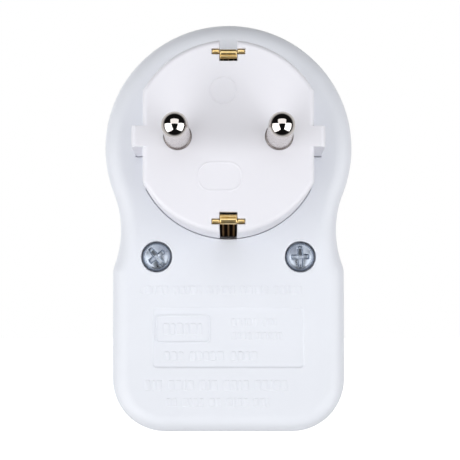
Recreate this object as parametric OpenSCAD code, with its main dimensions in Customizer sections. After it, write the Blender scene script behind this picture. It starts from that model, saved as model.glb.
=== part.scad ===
// Plug-in power meter for earthed round-pin sockets.
// The origin is on the plug face, midway between the pins. +Z is up, +Y points into the wall socket,
// and the display and the appliance socket face -Y.

/* [Case outline] */
// Width of the lower body
body_w = 45.6; // [44:0.1:60]
// Band of case around the socket cup
head_rim = 3.05; // [2.6:0.05:6]
// From the display frame down to the bottom edge
chin = 12.8; // [12:0.1:20]
// Radius of the bottom corners
corner_r = 10.3; // [6:0.1:12]
// Radius of the shoulders below the neck
shoulder_r = 5; // [4.2:0.1:7]
// From the case screws down to the shoulder centres
shoulder_below = 3.2; // [2:0.1:6]
// Radius of the hollow neck
neck_r = 19.8; // [15:0.1:26]

/* [Case walls] */
// Thickness of the case walls
wall = 2; // [1.6:0.1:2.4]
// Depth of the rear shell
rear_depth = 15; // [13:0.1:16]
// Rounding of the back edge
back_edge_r = 3.5; // [2.8:0.1:4]
// Rounding of the front edge
front_edge_r = 2.8; // [2.6:0.1:3.2]
// Height of the lip that locates the two shells
lip_h = 1.5; // [1:0.1:2]
// Room for the earth bridge and the leads between the plug and the socket
service_gap = 2.1; // [2:0.1:4]

/* [Plug] */
// Height of the plug boss above the back plane
plug_h = 17; // [15:0.1:20]
// Diameter of the plug boss
plug_d = 36.4; // [36:0.1:44]
// Width across the flats of the plug boss
plug_flats = 32.1; // [31:0.1:33]
// Height of the key in the middle of each flat
plug_key = 4.05; // [3.5:0.05:4.5]
// Rounding of the plug face's edge
plug_edge_r = 1; // [0.5:0.1:1.5]
// Wall of the plug insert
plug_wall = 2; // [1.6:0.1:2.2]
// Thickness of the flange that holds the insert in the case
flange_t = 1.8; // [1.2:0.1:2.2]
// Width of that flange around the boss
flange_w = 2.3; // [1.5:0.1:2.6]

/* [Pins] */
// Distance between the pin centres
pin_pitch = 19; // [18.8:0.1:19.4]
// Diameter of the pins
pin_d = 4.8; // [4:0.05:5.8]
// Length of the pins from the plug face
pin_len = 19; // [18:0.1:19.5]
// How much wider the collar in the face is than the pin
collar_step = 0.4; // [0.4:0.05:0.8]
// Length of the tail behind the face
tail_len = 9; // [7:0.1:9.5]

/* [Earth contacts] */
// Width of the earth strip
strip_w = 3.2; // [2.8:0.1:3.6]
// Thickness of the earth strip
strip_t = 0.8; // [0.6:0.1:1]
// Width of the ears at the plug face
ear_w = 6.1; // [5:0.1:6.5]
// Depth of the strip's channel in the side of the boss
channel_depth = 2.3; // [2:0.1:2.6]

/* [Appliance socket] */
// Diameter of the recess
recess_d = 38.6; // [38:0.1:47]
// Width across the recess's flats
recess_flats = 33.4; // [32.5:0.1:34]
// Depth of the recess
recess_depth = 17.5; // [17:0.1:20]
// Wall of the socket cup around the recess
cup_wall = 2.1; // [1.9:0.1:3]
// Thickness of the cup's floor
cup_floor = 2; // [1.5:0.1:2.5]
// How much wider the holes in the cup's floor are than the pins
hole_step = 1; // [0.6:0.1:1.4]

/* [Shutter] */
// Thickness of the shutter
shutter_t = 3.4; // [2.8:0.1:4]
// Gap on each face of the shutter
shutter_gap = 0.3; // [0.2:0.05:0.4]
// Number of turns of its spring
spring_turns = 6; // [4:1:8]

/* [Display and buttons] */
// Case wall and clearance beside the display glass
display_side = 3.1; // [2.8:0.1:6]
// Height of the display glass
glass_h = 14.8; // [12:0.1:18]
// Thickness of the display glass
glass_t = 2.8; // [2:0.1:3.4]
// Thickness of the main board
board_t = 1.6; // [1:0.1:2]
// Gap between the moulded buttons
button_space = 2.2; // [2:0.1:3]
// Height of a button
button_h = 4.2; // [3.8:0.1:4.6]
// From the middle of the buttons down to the bottom edge
button_chin = 7.6; // [7.4:0.1:8]
// How far a button stands out of the front face
button_proud = 0.8; // [0.6:0.1:1.2]
// Travel of a button
button_travel = 0.5; // [0.3:0.05:0.5]
// Gap around a button
button_gap = 0.15; // [0.12:0.01:0.2]

/* [Case screws] */
// Distance of the screws from the middle
screw_x = 14.1; // [13.5:0.1:14.5]
// Gap between the screw posts and the socket cup
screw_clear = 0.97; // [0.5:0.01:2]
// Diameter of the screw heads
screw_head_d = 5.6; // [5:0.1:6.8]
// Diameter of the screw shanks
screw_d = 2.9; // [2.5:0.1:3.5]

/* [Label] */
// Width of the label recess
label_w = 29.5; // [20:0.1:32]
// Height of the label recess
label_h = 11.7; // [8:0.1:14]
// From the shoulder centres down to the middle of the label recess
label_below = 12.65; // [10:0.05:14]

/* [Hidden] */
$fa = 5;
$fs = 0.4;

SIDES = [-1, 1];
slack = 0.1;
through = 1;

// Thousandths and hundredths of a millimetre, so that neighbouring pieces share the very same edges
function fine(x) = round(x * 1000) / 1000;
function coarse(x) = round(x * 100) / 100;

// Sizes that several pieces share
pin_x = pin_pitch / 2;
pin_r = pin_d / 2;
plug_r = plug_d / 2;
flange_r = plug_r + flange_w;
recess_r = recess_d / 2;
cup_r = recess_r + cup_wall;
glass_w = body_w - 2 * (wall + display_side);
frame_t = 1.15;
frame_w = glass_w + 2 * (slack + frame_t);
frame_h = glass_h + 2 * (slack + frame_t);
post_r = screw_d / 2 + 2.1;

// Drops below the pin centres
screw_reach = max(cup_r + post_r + screw_clear, flange_r + post_r + 0.3);
screw_drop = coarse(sqrt(screw_reach ^ 2 - screw_x ^ 2));
shoulder_drop = screw_drop + shoulder_below;
label_drop = shoulder_drop + label_below;
frame_top = screw_drop + post_r + 0.55;
display_drop = frame_top + frame_h / 2;
body_drop = coarse(frame_top + frame_h + chin);
button_drop = body_drop - button_chin;

// Outline
head_r = max(cup_r + head_rim, flange_r + wall + 0.5);
body_half = body_w / 2;
shoulder_x = body_half - shoulder_r;
corner_x = body_half - corner_r;
corner_drop = body_drop - corner_r;
edge_steps = 4;
// The neck circle cuts this far past touching, so that it meets the head and shoulders in clean edges
neck_bite = 0.02;
shoulder_span = norm([shoulder_x, shoulder_drop]);
to_head = head_r + neck_r;
to_shoulder = neck_r + shoulder_r;
neck_along = (to_head ^ 2 - to_shoulder ^ 2 + shoulder_span ^ 2) / (2 * shoulder_span);
neck_aside = sqrt(to_head ^ 2 - neck_along ^ 2);
neck_x = (neck_along * shoulder_x + neck_aside * shoulder_drop) / shoulder_span;
neck_z = (neck_aside * shoulder_x - neck_along * shoulder_drop) / shoulder_span;

// Planes along Y, from the wall side to the user's side
carrier_t = 1.6;
socket_depth = carrier_t + 2 * shutter_gap + shutter_t + cup_floor + recess_depth;
case_depth = wall + flange_t + service_gap + socket_depth;
back_y = -plug_h;
front_y = back_y - case_depth;
parting_y = back_y - rear_depth;
inner_back_y = back_y - wall;
inner_front_y = front_y + wall;
cup_floor_y = front_y + recess_depth;
cup_rear_y = cup_floor_y + cup_floor;
shutter_y = cup_rear_y + shutter_gap;
shutter_rear_y = shutter_y + shutter_t;
carrier_y = shutter_rear_y + shutter_gap;
skirt_y = carrier_y + carrier_t;
clip_t = 0.6;
clip_leg_y = skirt_y + 0.03;
bridge_t = 0.5;
bridge_y = clip_leg_y + clip_t + 0.03;

// Plug
collar_r = pin_r + collar_step / 2;
// The collar ends this far under the face
collar_sunk = 0.1;
pin_hole_r = collar_r + 0.05;
pin_flange_r = pin_r + 1.2;
pin_flange_t = 1.4;
tail_r = pin_r - 0.5;
channel_floor = plug_r - channel_depth;
channel_w = strip_w + slack;
ear_t = 0.95;
ear_low = channel_floor - 0.4;
hook_low = channel_floor - 1.65;
hook_depth = 4;
strip_base = plug_r - 0.5;

// Socket
socket_hole_r = pin_r + hole_step / 2;
shutter_travel = 2 * socket_hole_r - 0.2;
clip_w = 3.6;
clip_z = recess_r - 0.4;
guide_x = pin_x + socket_hole_r + 1.1;
guide_t = 1.5;
shutter_half = guide_x - shutter_gap;
shutter_low = -socket_hole_r - 4.1;
shutter_high = shutter_travel + socket_hole_r + 2;
spring_seat = shutter_low - shutter_travel - 3.6;
spring_r = 1.3;
spring_wire = 0.4;
mate_tip_y = cup_floor_y + pin_len;
contact_end_y = mate_tip_y + 0.5;
contact_wall = 0.85;
contact_r = pin_r + 0.05 + contact_wall;
sleeve_r = contact_r + slack + 0.9;
sleeve_end_y = inner_back_y - flange_t - 0.2;
carrier_screw = [guide_x + 2.7, 7];
carrier_post_r = 1.9;

// Display, board and buttons
window_t = 1.2;
window_w = glass_w + 0.6;
window_h = glass_h + 0.2;
window_rim = 1.4;
glass_y = inner_front_y + slack;
strip_gap = 3.1;
board_y = glass_y + glass_t + strip_gap;
board_rear_y = board_y + board_t;
// Foot of the parts on the board, and the gap that their bodies leave over it
leg_y = board_rear_y + 0.02;
stand_off = 0.4;
leg_r = 0.35;
board_half = body_half - wall - 0.6;
board_bottom = body_drop - wall - 0.5;
board_corner_r = corner_r - wall - 0.5;
button_pitch = coarse((body_w - 2 * wall - 4) / 4);
button_w = button_pitch - button_space;
button_xs = [for (i = [0:3]) (i - 1.5) * button_pitch];
button_flange = 0.6;
cap_rear_y = inner_front_y + 1;
switch_w = 6;
switch_h = 3.5;
plunger_r = 1.7;
board_screw_x = board_half - 1.5;
board_screw_drop = frame_top + frame_h + 1.55;
board_post_r = 1.4;
cell_x = 13.6;
cell_drop = frame_top + 15;
cell_r = 4.4;
cell_t = 3;
head_clear = screw_head_d / 2 + 0.25;
sink_depth = 2.4;
screw_tip_y = inner_front_y + 3;
label_depth = 0.3;

// Leads, with the plane that they run down in and the height at which they meet the board
lead_r = 0.8;
lead_y = (inner_back_y - flange_t + skirt_y) / 2;
lead_end = -frame_top - 0.9;
lead_turn = -cup_r - 2.2;

WHITE = "#e4eaf1";
INSERT_WHITE = "#ebebef";
NICKEL = "#b9bbbd";
BRASS = "#b8934a";
STEEL = "#9aa0a6";
BLACK = "#1d1e20";
TIN = "#b9bbbd";

// ---- Placing ----

// Turns a piece drawn on the XZ outline so that its height runs from y towards the user
module from_back(y) {
    translate([0, y, 0]) rotate([90, 0, 0]) children();
}

// The same, with the height running from y towards the wall
module from_front(y) {
    translate([0, y, 0]) mirror([0, 1, 0]) rotate([90, 0, 0]) children();
}

// Box from its two corners
module span_box(low, high) {
    translate(low) cube(high - low);
}

// Cylinder along Y, centred at x and z
module bar_y(x, z, r, y1, y2) {
    translate([x, min(y1, y2), z]) rotate([-90, 0, 0]) cylinder(r = r, h = abs(y2 - y1));
}

// Cylinder along Z, centred at x and y
module bar_z(x, y, r, z1, z2) {
    translate([x, y, z1]) cylinder(r = r, h = z2 - z1);
}

// Box across the top (s = 1) or bottom (s = -1) of the plug
module channel_box(s, w, near, far, y1, y2) {
    span_box([-w / 2, min(y1, y2), min(s * near, s * far)], [w / 2, max(y1, y2), max(s * near, s * far)]);
}

// Rounded rectangle without faceted corners
module round_rect(w, h, r) {
    square([w - 2 * r, h], center = true);
    square([w, h - 2 * r], center = true);
    for (x = SIDES, z = SIDES) translate([x * (w / 2 - r), z * (h / 2 - r)]) circle(r);
}

// Long round-ended shape
module stadium(w, h) {
    square([w - h, h], center = true);
    for (x = SIDES) translate([x * (w - h) / 2, 0]) circle(h / 2);
}

// ---- Case form ----

// Points of a rounded edge in short straight facets, from the foot plane at x up to the wall
function round_edge(x, edge) = [
    for (k = [0:edge_steps]) let (a = 90 * k / edge_steps)
        [x + fine(edge * sin(a)), fine(edge * (1 - cos(a)))]
];

// Disc with one rounded rim, at its foot
module puck(r, edge, depth) {
    rotate_extrude()
        polygon(concat([[0, 0]], round_edge(r - edge, edge), [[r, depth], [0, depth]]));
}

// Bar with two rounded lower edges, running from low to high along Y
module rail(half, edge, depth, low, high) {
    translate([0, high, 0]) rotate([90, 0, 0]) linear_extrude(high - low) {
        for (side = [0, 1]) mirror([side, 0])
            polygon(concat([[-1, 0]], round_edge(half - edge, edge), [[half, depth], [-1, depth]]));
    }
}

// Round cutter whose foot flares, so that it leaves a rounded edge
module spool(r, edge, depth) {
    flare = [for (p = round_edge(0, edge)) [r + edge - p[0], p[1]]];
    slope = (flare[0] - flare[1]) / (flare[1][1] - flare[0][1]);
    rotate_extrude()
        polygon(concat([[0, -1], flare[0] + slope], flare, [[r, depth + 1], [0, depth + 1]]));
}

// Area between the head, the neck circle and the shoulders, on one side
function waist(s) = [[0, 0], [s * neck_x, neck_z], [s * shoulder_x, -shoulder_drop], [0, -shoulder_drop]];

// The case's outline as a solid, moved in by inset, with its foot's edge rounded
module case_form(inset, edge, depth) {
    difference() {
        union() {
            puck(head_r - inset, edge, depth);
            for (s = SIDES) {
                translate([s * shoulder_x, -shoulder_drop, 0]) puck(shoulder_r - inset, edge, depth);
                translate([s * corner_x, -corner_drop, 0]) puck(corner_r - inset, edge, depth);
            }
            rail(body_half - inset, edge, depth, -corner_drop, -shoulder_drop);
            translate([0, -corner_drop, 0]) rotate([0, 0, 90])
                rail(corner_r - inset, edge, depth, -corner_x, corner_x);
            linear_extrude(depth) for (s = SIDES)
                polygon(waist(s));
        }
        for (s = SIDES)
            translate([s * neck_x, neck_z, 0]) spool(neck_r + inset + neck_bite, edge, depth);
    }
}

// The same outline with square edges
module case_prism(inset, depth) {
    linear_extrude(depth) difference() {
        union() {
            circle(head_r - inset);
            for (s = SIDES) {
                translate([s * shoulder_x, -shoulder_drop]) circle(shoulder_r - inset);
                translate([s * corner_x, -corner_drop]) circle(corner_r - inset);
                polygon(waist(s));
            }
            translate([inset - body_half, -corner_drop])
                square([2 * (body_half - inset), corner_drop - shoulder_drop]);
            translate([-corner_x, inset - body_drop]) square([2 * corner_x, corner_r - inset + through]);
        }
        for (s = SIDES) translate([s * neck_x, neck_z]) circle(neck_r + inset + neck_bite);
    }
}

// ---- Shells ----

module rear_shell() {
    color(WHITE) difference() {
        union() {
            difference() {
                from_back(back_y) case_form(0, back_edge_r, rear_depth);
                from_back(inner_back_y) case_form(wall, back_edge_r - wall, rear_depth);
            }
            for (s = SIDES)
                bar_y(s * screw_x, -screw_drop, post_r, inner_back_y + slack, parting_y + slack);
        }
        // Rebate for the front shell's lip
        from_back(parting_y + lip_h + slack) case_prism(wall / 2, lip_h + through);
        // Hole for the plug insert
        from_back(back_y + through) linear_extrude(wall + 2 * through) plug_outline(slack);
        // Screw counterbores and holes
        for (s = SIDES) {
            bar_y(s * screw_x, -screw_drop, head_clear, back_y + through, back_y - sink_depth);
            bar_y(s * screw_x, -screw_drop, screw_d / 2 + slack, back_y, parting_y - through);
        }
        // Label recess
        from_back(back_y + through) translate([0, -label_drop, 0])
            linear_extrude(label_depth + through) round_rect(label_w, label_h, 0.8);
    }
}

module front_shell() {
    color(WHITE) difference() {
        union() {
            difference() {
                from_front(front_y) case_form(0, front_edge_r, case_depth - rear_depth);
                from_front(inner_front_y) case_form(wall, front_edge_r - wall, case_depth);
            }
            // Lip that enters the rear shell
            from_back(parting_y + lip_h) difference() {
                case_prism(wall / 2 + slack, lip_h + through);
                translate([0, 0, -through]) case_prism(wall, lip_h + 3 * through);
            }
            for (s = SIDES) {
                bar_y(s * screw_x, -screw_drop, post_r, inner_front_y - slack, parting_y);
                bar_y(s * board_screw_x, -board_screw_drop, board_post_r, inner_front_y - slack, board_y);
            }
        }
        // Opening for the socket cup
        from_front(front_y - through) cylinder(r = cup_r + slack, h = wall + 2 * through);
        // Display opening with a rebate for the window
        from_front(front_y - through) translate([0, -display_drop, 0])
            linear_extrude(window_t + slack + through)
                round_rect(window_w + 2 * slack, window_h + 2 * slack, 1);
        from_front(front_y) translate([0, -display_drop, 0]) linear_extrude(wall + through)
            round_rect(window_w - 2 * window_rim, window_h - 2 * window_rim, 0.6);
        // Button holes
        for (x = button_xs) from_front(front_y - through) translate([x, -button_drop, 0])
            linear_extrude(wall + 2 * through)
                stadium(button_w + 2 * button_gap, button_h + 2 * button_gap);
        for (s = SIDES) {
            bar_y(s * screw_x, -screw_drop, screw_d / 2 + 0.05, screw_tip_y - through, parting_y + through);
            bar_y(s * board_screw_x, -board_screw_drop, 0.95, inner_front_y + 1, board_y + through);
        }
    }
}

// ---- Plug ----

// Outline of the plug boss, grown by extra
module plug_outline(extra) {
    intersection() {
        circle(plug_r + extra);
        union() {
            square([plug_flats + 2 * extra, plug_d + 2], center = true);
            square([plug_d + 2, plug_key + 2 * extra], center = true);
        }
    }
}

module plug_insert() {
    half = plug_flats / 2;
    depth = plug_h + wall + slack;
    hollow_r = plug_r - plug_wall;
    color(INSERT_WHITE) difference() {
        union() {
            from_back(0) {
                intersection() {
                    puck(plug_r, plug_edge_r, depth);
                    rail(half, plug_edge_r, depth, -plug_r - 1, plug_r + 1);
                }
                intersection() {
                    puck(plug_r, plug_edge_r, depth);
                    translate([-plug_r - 1, -plug_key / 2, 0]) cube([2 * plug_r + 2, plug_key, depth]);
                }
            }
            from_back(inner_back_y - slack / 2) cylinder(r = flange_r, h = flange_t - slack);
        }
        // Hollow behind the face, clear of the earth channels
        from_back(-plug_wall) linear_extrude(plug_h + wall + flange_t) difference() {
            intersection() {
                circle(hollow_r);
                square([plug_flats - 2 * plug_wall, plug_d], center = true);
            }
            for (s = SIDES) translate([0, s * (hook_low - 1.4 + plug_r / 2)])
                square([ear_w + 3, plug_r], center = true);
        }
        for (s = SIDES) {
            bar_y(s * pin_x, 0, pin_hole_r, -plug_wall - through, through);
            // Earth channel down the side, with room for the ears and the hooked end
            channel_box(s, channel_w, channel_floor, plug_r + 4, through, -plug_h - 10);
            channel_box(s, ear_w + slack, ear_low, channel_floor + ear_t - 0.4, through, -1.6);
            channel_box(s, channel_w, hook_low, channel_floor + 0.1, through, -hook_depth);
        }
    }
}

module plug_pin(s) {
    color(NICKEL) translate([s * pin_x, 0, 0]) rotate([-90, 0, 0]) {
        translate([0, 0, -tail_len]) cylinder(r = tail_r, h = tail_len);
        translate([0, 0, -plug_wall - 0.05 - pin_flange_t]) cylinder(r = pin_flange_r, h = pin_flange_t);
        translate([0, 0, -plug_wall - 0.2]) cylinder(r = collar_r, h = plug_wall + 0.2 - collar_sunk);
        translate([0, 0, -plug_wall]) cylinder(r = pin_r, h = pin_len - pin_r + plug_wall);
        translate([0, 0, pin_len - pin_r]) sphere(pin_r);
    }
}

module line_pin() { plug_pin(1); }
module neutral_pin() { plug_pin(-1); }

// Strip bent from a YZ outline, as wide as w
module strip_yz(points, w) {
    translate([-w / 2, 0, 0]) rotate([90, 0, 90]) linear_extrude(w) polygon(points);
}

// Earth contact at the top (s = 1) or bottom (s = -1): hooked into the face, sloping outward to the case
module earth_contact(s) {
    top = channel_floor + ear_t - 0.45;
    hook = hook_low + 0.15;
    color(BRASS) mirror([0, 0, s < 0 ? 1 : 0]) {
        strip_yz([
            [-0.1, hook], [-0.1, top - 0.25], [-0.35, top], [back_y + 1, strip_base],
            [bridge_y, strip_base], [bridge_y, strip_base - strip_t],
            [back_y + 1.2, strip_base - strip_t], [-1.1, channel_floor + 0.12],
            [-0.9, hook + strip_t], [-hook_depth + 0.4, hook + strip_t], [-hook_depth + 0.4, hook]
        ], strip_w);
        span_box([-ear_w / 2, -1.2, ear_low + 0.1], [ear_w / 2, -0.2, ear_low + 0.1 + ear_t - 0.2]);
    }
}

module upper_earth_contact() { earth_contact(1); }
module lower_earth_contact() { earth_contact(-1); }

// ---- Earth path to the socket ----

module earth_bridge() {
    reach = strip_base - strip_t - slack;
    color(BRASS) span_box([-2.5, bridge_y, -reach], [2.5, bridge_y + bridge_t, reach]);
}

module earth_clip(s) {
    rear = clip_leg_y + clip_t;
    foot = min(clip_z - 4, strip_base - strip_t - 1.5);
    color(BRASS) mirror([0, 0, s < 0 ? 1 : 0]) strip_yz([
        [rear, foot], [rear, clip_z], [cup_floor_y - 1, clip_z], [cup_floor_y - 7.5, clip_z - 1.8],
        [front_y + 6, clip_z - 2.4], [front_y + 2, clip_z - 0.6], [front_y + 2, clip_z - 0.6 - clip_t],
        [front_y + 6, clip_z - 2.4 - clip_t], [cup_floor_y - 7.5, clip_z - 1.8 - clip_t],
        [cup_floor_y - 1, clip_z - clip_t], [rear - clip_t, clip_z - clip_t], [rear - clip_t, foot]
    ], clip_w);
}

module upper_earth_clip() { earth_clip(1); }
module lower_earth_clip() { earth_clip(-1); }

// ---- Appliance socket ----

module socket_cup() {
    ribs_y = cup_rear_y - slack;
    guide_top = carrier_y - shutter_gap / 2;
    color(INSERT_WHITE) difference() {
        from_front(front_y) cylinder(r = cup_r, h = skirt_y - front_y);
        // Recess with two flats, each with a keyway
        from_front(front_y - through) linear_extrude(recess_depth + through) intersection() {
            circle(recess_r);
            union() {
                square([recess_flats, recess_d + 2], center = true);
                square([recess_d + 2, plug_key + 1.2], center = true);
            }
        }
        // Pin holes
        for (s = SIDES) bar_y(s * pin_x, 0, socket_hole_r, cup_floor_y - through, cup_rear_y + through);
        // Slots for the earth clips
        for (s = SIDES)
            channel_box(s, clip_w + 2 * slack, clip_z - clip_t - 0.5, clip_z + slack, cup_floor_y - through,
                skirt_y + through);
        // Chamber behind the floor, leaving the shutter's guides, stops and screw posts
        difference() {
            from_front(cup_rear_y) cylinder(r = cup_r - 1.8, h = skirt_y - cup_rear_y + through);
            for (s = SIDES) {
                span_box([min(s * guide_x, s * (guide_x + guide_t)), ribs_y, -carrier_screw[1] - 6],
                    [max(s * guide_x, s * (guide_x + guide_t)), guide_top, carrier_screw[1] + 6]);
                bar_y(s * carrier_screw[0], s * carrier_screw[1], carrier_post_r, ribs_y, guide_top);
            }
            span_box([-4, ribs_y, spring_seat - 1.5], [4, guide_top, spring_seat]);
            span_box([-9, ribs_y, shutter_high + slack], [9, guide_top, shutter_high + 1.5]);
        }
        for (s = SIDES)
            bar_y(s * carrier_screw[0], s * carrier_screw[1], 0.85, cup_rear_y - 1, guide_top + through);
    }
}

module shutter() {
    color("#c9ccd0") difference() {
        span_box([-shutter_half, shutter_y, shutter_low], [shutter_half, shutter_rear_y, shutter_high]);
        for (s = SIDES) {
            bar_y(s * pin_x, shutter_travel, socket_hole_r, shutter_y - through, shutter_rear_y + through);
            // Ramps that the appliance's pins push on
            translate([s * pin_x - 3.2, shutter_y, 0]) rotate([90, 0, 90]) linear_extrude(6.4)
                polygon([[-1, -1], [-1, 3.5], [shutter_t - 0.8, 3.5], [0, -1]]);
        }
        span_box([-5.6, shutter_y - through, -3.5], [5.6, shutter_rear_y - 1.4, 8]);
        bar_z(0, shutter_y + shutter_t / 2, spring_r + 0.5, shutter_low - through, shutter_low + 1.2);
    }
}

// Ring of points around the spring's wire, for a fraction of its length
function wire_ring(t, bottom, top) = [
    for (a = [300:-60:0])
        let (turn = 360 * spring_turns * t, reach = spring_r + spring_wire / 2 * cos(a))
            [reach * cos(turn), reach * sin(turn), bottom + (top - bottom) * t + spring_wire / 2 * sin(a)]
];

// Tube whose rings are lists of points
module ring_tube(rings) {
    sides = len(rings[0]);
    last = len(rings) - 1;
    polyhedron(
        points = [for (ring = rings) each ring],
        faces = concat(
            [[for (i = [0:sides - 1]) i]],
            [for (k = [0:last - 1], i = [0:sides - 1])
                let (j = (i + 1) % sides)
                    [k * sides + i, (k + 1) * sides + i, (k + 1) * sides + j, k * sides + j]],
            [[for (i = [sides - 1:-1:0]) last * sides + i]]
        )
    );
}

module shutter_spring() {
    bottom = spring_seat + spring_wire / 2 + 0.02;
    top = shutter_low + 1.2 - spring_wire / 2 - 0.02;
    steps = spring_turns * 14;
    color(STEEL) translate([0, shutter_y + shutter_t / 2, 0])
        ring_tube([for (k = [0:steps]) wire_ring(k / steps, bottom, top)]);
}

module contact_carrier() {
    color("#8f949a") difference() {
        union() {
            from_front(carrier_y) cylinder(r = cup_r - 1.9, h = carrier_t);
            for (s = SIDES) bar_y(s * pin_x, 0, sleeve_r, carrier_y + carrier_t - slack, sleeve_end_y);
        }
        for (s = SIDES) {
            bar_y(s * pin_x, 0, socket_hole_r + 0.2, carrier_y - through, carrier_y + carrier_t);
            bar_y(s * pin_x, 0, contact_r + slack, carrier_y + 0.8, sleeve_end_y + through);
            bar_y(s * carrier_screw[0], s * carrier_screw[1], 1.1, carrier_y - through, skirt_y + through);
            channel_box(s, clip_w + 1, clip_z - 1.4, cup_r, carrier_y - through, skirt_y + through);
        }
    }
}

module carrier_screws() {
    color(STEEL) for (s = SIDES)
        pan_screw(s * carrier_screw[0], s * carrier_screw[1], skirt_y + 0.02, 1.8, 1.2, 0.8, 4.2, 20);
}

// Pan-head screw driven from the wall side: its head stands on y and its shank runs towards the user
module pan_screw(x, z, y, head_r, head_h, shank_r, shank_len, turn) {
    slot = head_r * 0.3;
    translate([x, y, z]) rotate([-90, 0, 0]) difference() {
        union() {
            difference() {
                translate([0, 0, -0.01]) cylinder(r = head_r, h = head_h);
                rotate_extrude() translate([head_r - 0.35, head_h - 0.35]) difference() {
                    square(1);
                    circle(0.35);
                }
            }
            translate([0, 0, -shank_len]) cylinder(r = shank_r, h = shank_len);
        }
        rotate([0, 0, turn]) for (a = [0, 90]) rotate([0, 0, a])
            translate([-head_r * 0.62, -slot / 2, head_h * 0.45]) cube([head_r * 1.24, slot, head_h]);
    }
}

// Sprung tube that grips an appliance pin, with a tab for its lead
module tube_contact(s) {
    front = carrier_y + 0.85;
    color(BRASS) {
        difference() {
            bar_y(s * pin_x, 0, contact_r, front, contact_end_y);
            bar_y(s * pin_x, 0, contact_r - contact_wall, front - through, contact_end_y - 1);
            span_box([s * pin_x - contact_r - 1, front - through, -0.3],
                [s * pin_x + contact_r + 1, contact_end_y - 3.5, 0.3]);
        }
        span_box([s * pin_x - 1.2, contact_end_y - 2.4, -contact_r - 1.4],
            [s * pin_x + 1.2, contact_end_y - 1.6, -contact_r + 0.3]);
    }
}

module line_contact() { tube_contact(1); }
module neutral_contact() { tube_contact(-1); }

// ---- Display ----

module display_window() {
    color("#a9b3ad") from_front(front_y) translate([0, -display_drop, 0])
        linear_extrude(window_t) round_rect(window_w, window_h, 0.9);
}

module display_glass() {
    color("#9fb09a") from_front(glass_y) translate([0, -display_drop, 0])
        linear_extrude(glass_t - slack) square([glass_w, glass_h], center = true);
}

module display_frame() {
    color("#e9e9ea") from_front(glass_y - slack / 2) translate([0, -display_drop, 0]) difference() {
        linear_extrude(board_y - glass_y) square([frame_w, frame_h], center = true);
        translate([0, 0, -through]) linear_extrude(board_y - glass_y + 2 * through)
            square([glass_w + 2 * slack, glass_h + 2 * slack], center = true);
    }
}

module connector_strip(s) {
    color("#3a3d42") translate([0, glass_y + glass_t, s * (glass_h / 2 - 1.4) - display_drop])
        span_box([-glass_w / 2 + 1, 0, -1.1], [glass_w / 2 - 1, strip_gap - slack, 1.1]);
}

module upper_connector_strip() { connector_strip(1); }
module lower_connector_strip() { connector_strip(-1); }

// ---- Board and buttons ----

module main_board() {
    top = frame_top - 0.1;
    color("#2f6b3c") difference() {
        from_front(board_y) linear_extrude(board_t) {
            translate([-board_half, board_corner_r - board_bottom])
                square([2 * board_half, board_bottom - board_corner_r - top]);
            translate([board_corner_r - board_half, -board_bottom])
                square([2 * (board_half - board_corner_r), board_corner_r + 1]);
            for (s = SIDES) translate([s * (board_half - board_corner_r), board_corner_r - board_bottom])
                circle(board_corner_r);
        }
        for (s = SIDES)
            bar_y(s * board_screw_x, -board_screw_drop, 1.1, board_y - through, board_rear_y + through);
    }
}

module board_screws() {
    color(STEEL) for (s = SIDES)
        pan_screw(s * board_screw_x, -board_screw_drop, board_rear_y + 0.02, 1.8, 1.2, 0.85, 5, 35);
}

module button_cap(i) {
    cap_y = front_y - button_proud;
    color("#6d7278") from_front(cap_y) translate([button_xs[i], -button_drop, 0]) {
        difference() {
            linear_extrude(inner_front_y - cap_y) stadium(button_w, button_h);
            // Hollow finger rest
            translate([0, 0, -11.7]) sphere(12);
        }
        translate([0, 0, inner_front_y - cap_y + 0.05]) {
            linear_extrude(cap_rear_y - inner_front_y - 0.05)
                stadium(button_w + 2 * button_flange, button_h + 2 * button_flange);
        }
        translate([0, 0, 1]) linear_extrude(cap_rear_y - cap_y - 1) stadium(button_w - 1, button_h - 1);
    }
}

module button_1() { button_cap(0); }
module button_2() { button_cap(1); }
module button_3() { button_cap(2); }
module button_4() { button_cap(3); }

module plunger(i) {
    color(BLACK) bar_y(button_xs[i], -button_drop, plunger_r, cap_rear_y + 0.02, board_y - switch_h + 0.6);
}

module plunger_1() { plunger(0); }
module plunger_2() { plunger(1); }
module plunger_3() { plunger(2); }
module plunger_4() { plunger(3); }

module switch_bodies() {
    color("#2b2c2e") for (x = button_xs) difference() {
        span_box([x - switch_w / 2, board_y - switch_h, -button_drop - switch_w / 2],
            [x + switch_w / 2, board_y - 0.02, -button_drop + switch_w / 2]);
        bar_y(x, -button_drop, plunger_r + 0.3, board_y - switch_h - through,
            board_y - switch_h + 0.6 + button_travel + 0.3);
    }
}

// ---- Fasteners ----

module case_screws() {
    color(STEEL) for (s = SIDES)
        pan_screw(s * screw_x, -screw_drop, back_y - sink_depth + 0.02, screw_head_d / 2, 1.9, screw_d / 2,
            back_y - sink_depth - screw_tip_y, s > 0 ? 52 : 4);
}

// ---- Parts on the board ----

module mains_capacitor() {
    z = -frame_top - 5.3;
    w = 15;
    h = 11;
    t = 6;
    left = 1.2 - board_half;
    color("#d8b63a") {
        span_box([left, leg_y + stand_off, z - t / 2], [left + w, leg_y + stand_off + h, z + t / 2]);
        for (s = SIDES) bar_y(left + w / 2 + s * 6, z, leg_r, leg_y, leg_y + 1);
    }
}

module reservoir_capacitor() {
    x = 1.5;
    z = -frame_top - 5.2;
    can_r = 4;
    foot = leg_y + stand_off;
    color("#2a3550") difference() {
        bar_y(x, z, can_r, foot, foot + 11.5);
        // Groove rolled in over the rubber bung
        translate([x, foot + 1.8, z]) rotate([-90, 0, 0]) rotate_extrude()
            translate([can_r + 0.2, 0]) circle(0.5);
    }
    color(TIN) for (s = SIDES) bar_y(x + s * 1.6, z, leg_r, leg_y, leg_y + 1);
}

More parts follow.
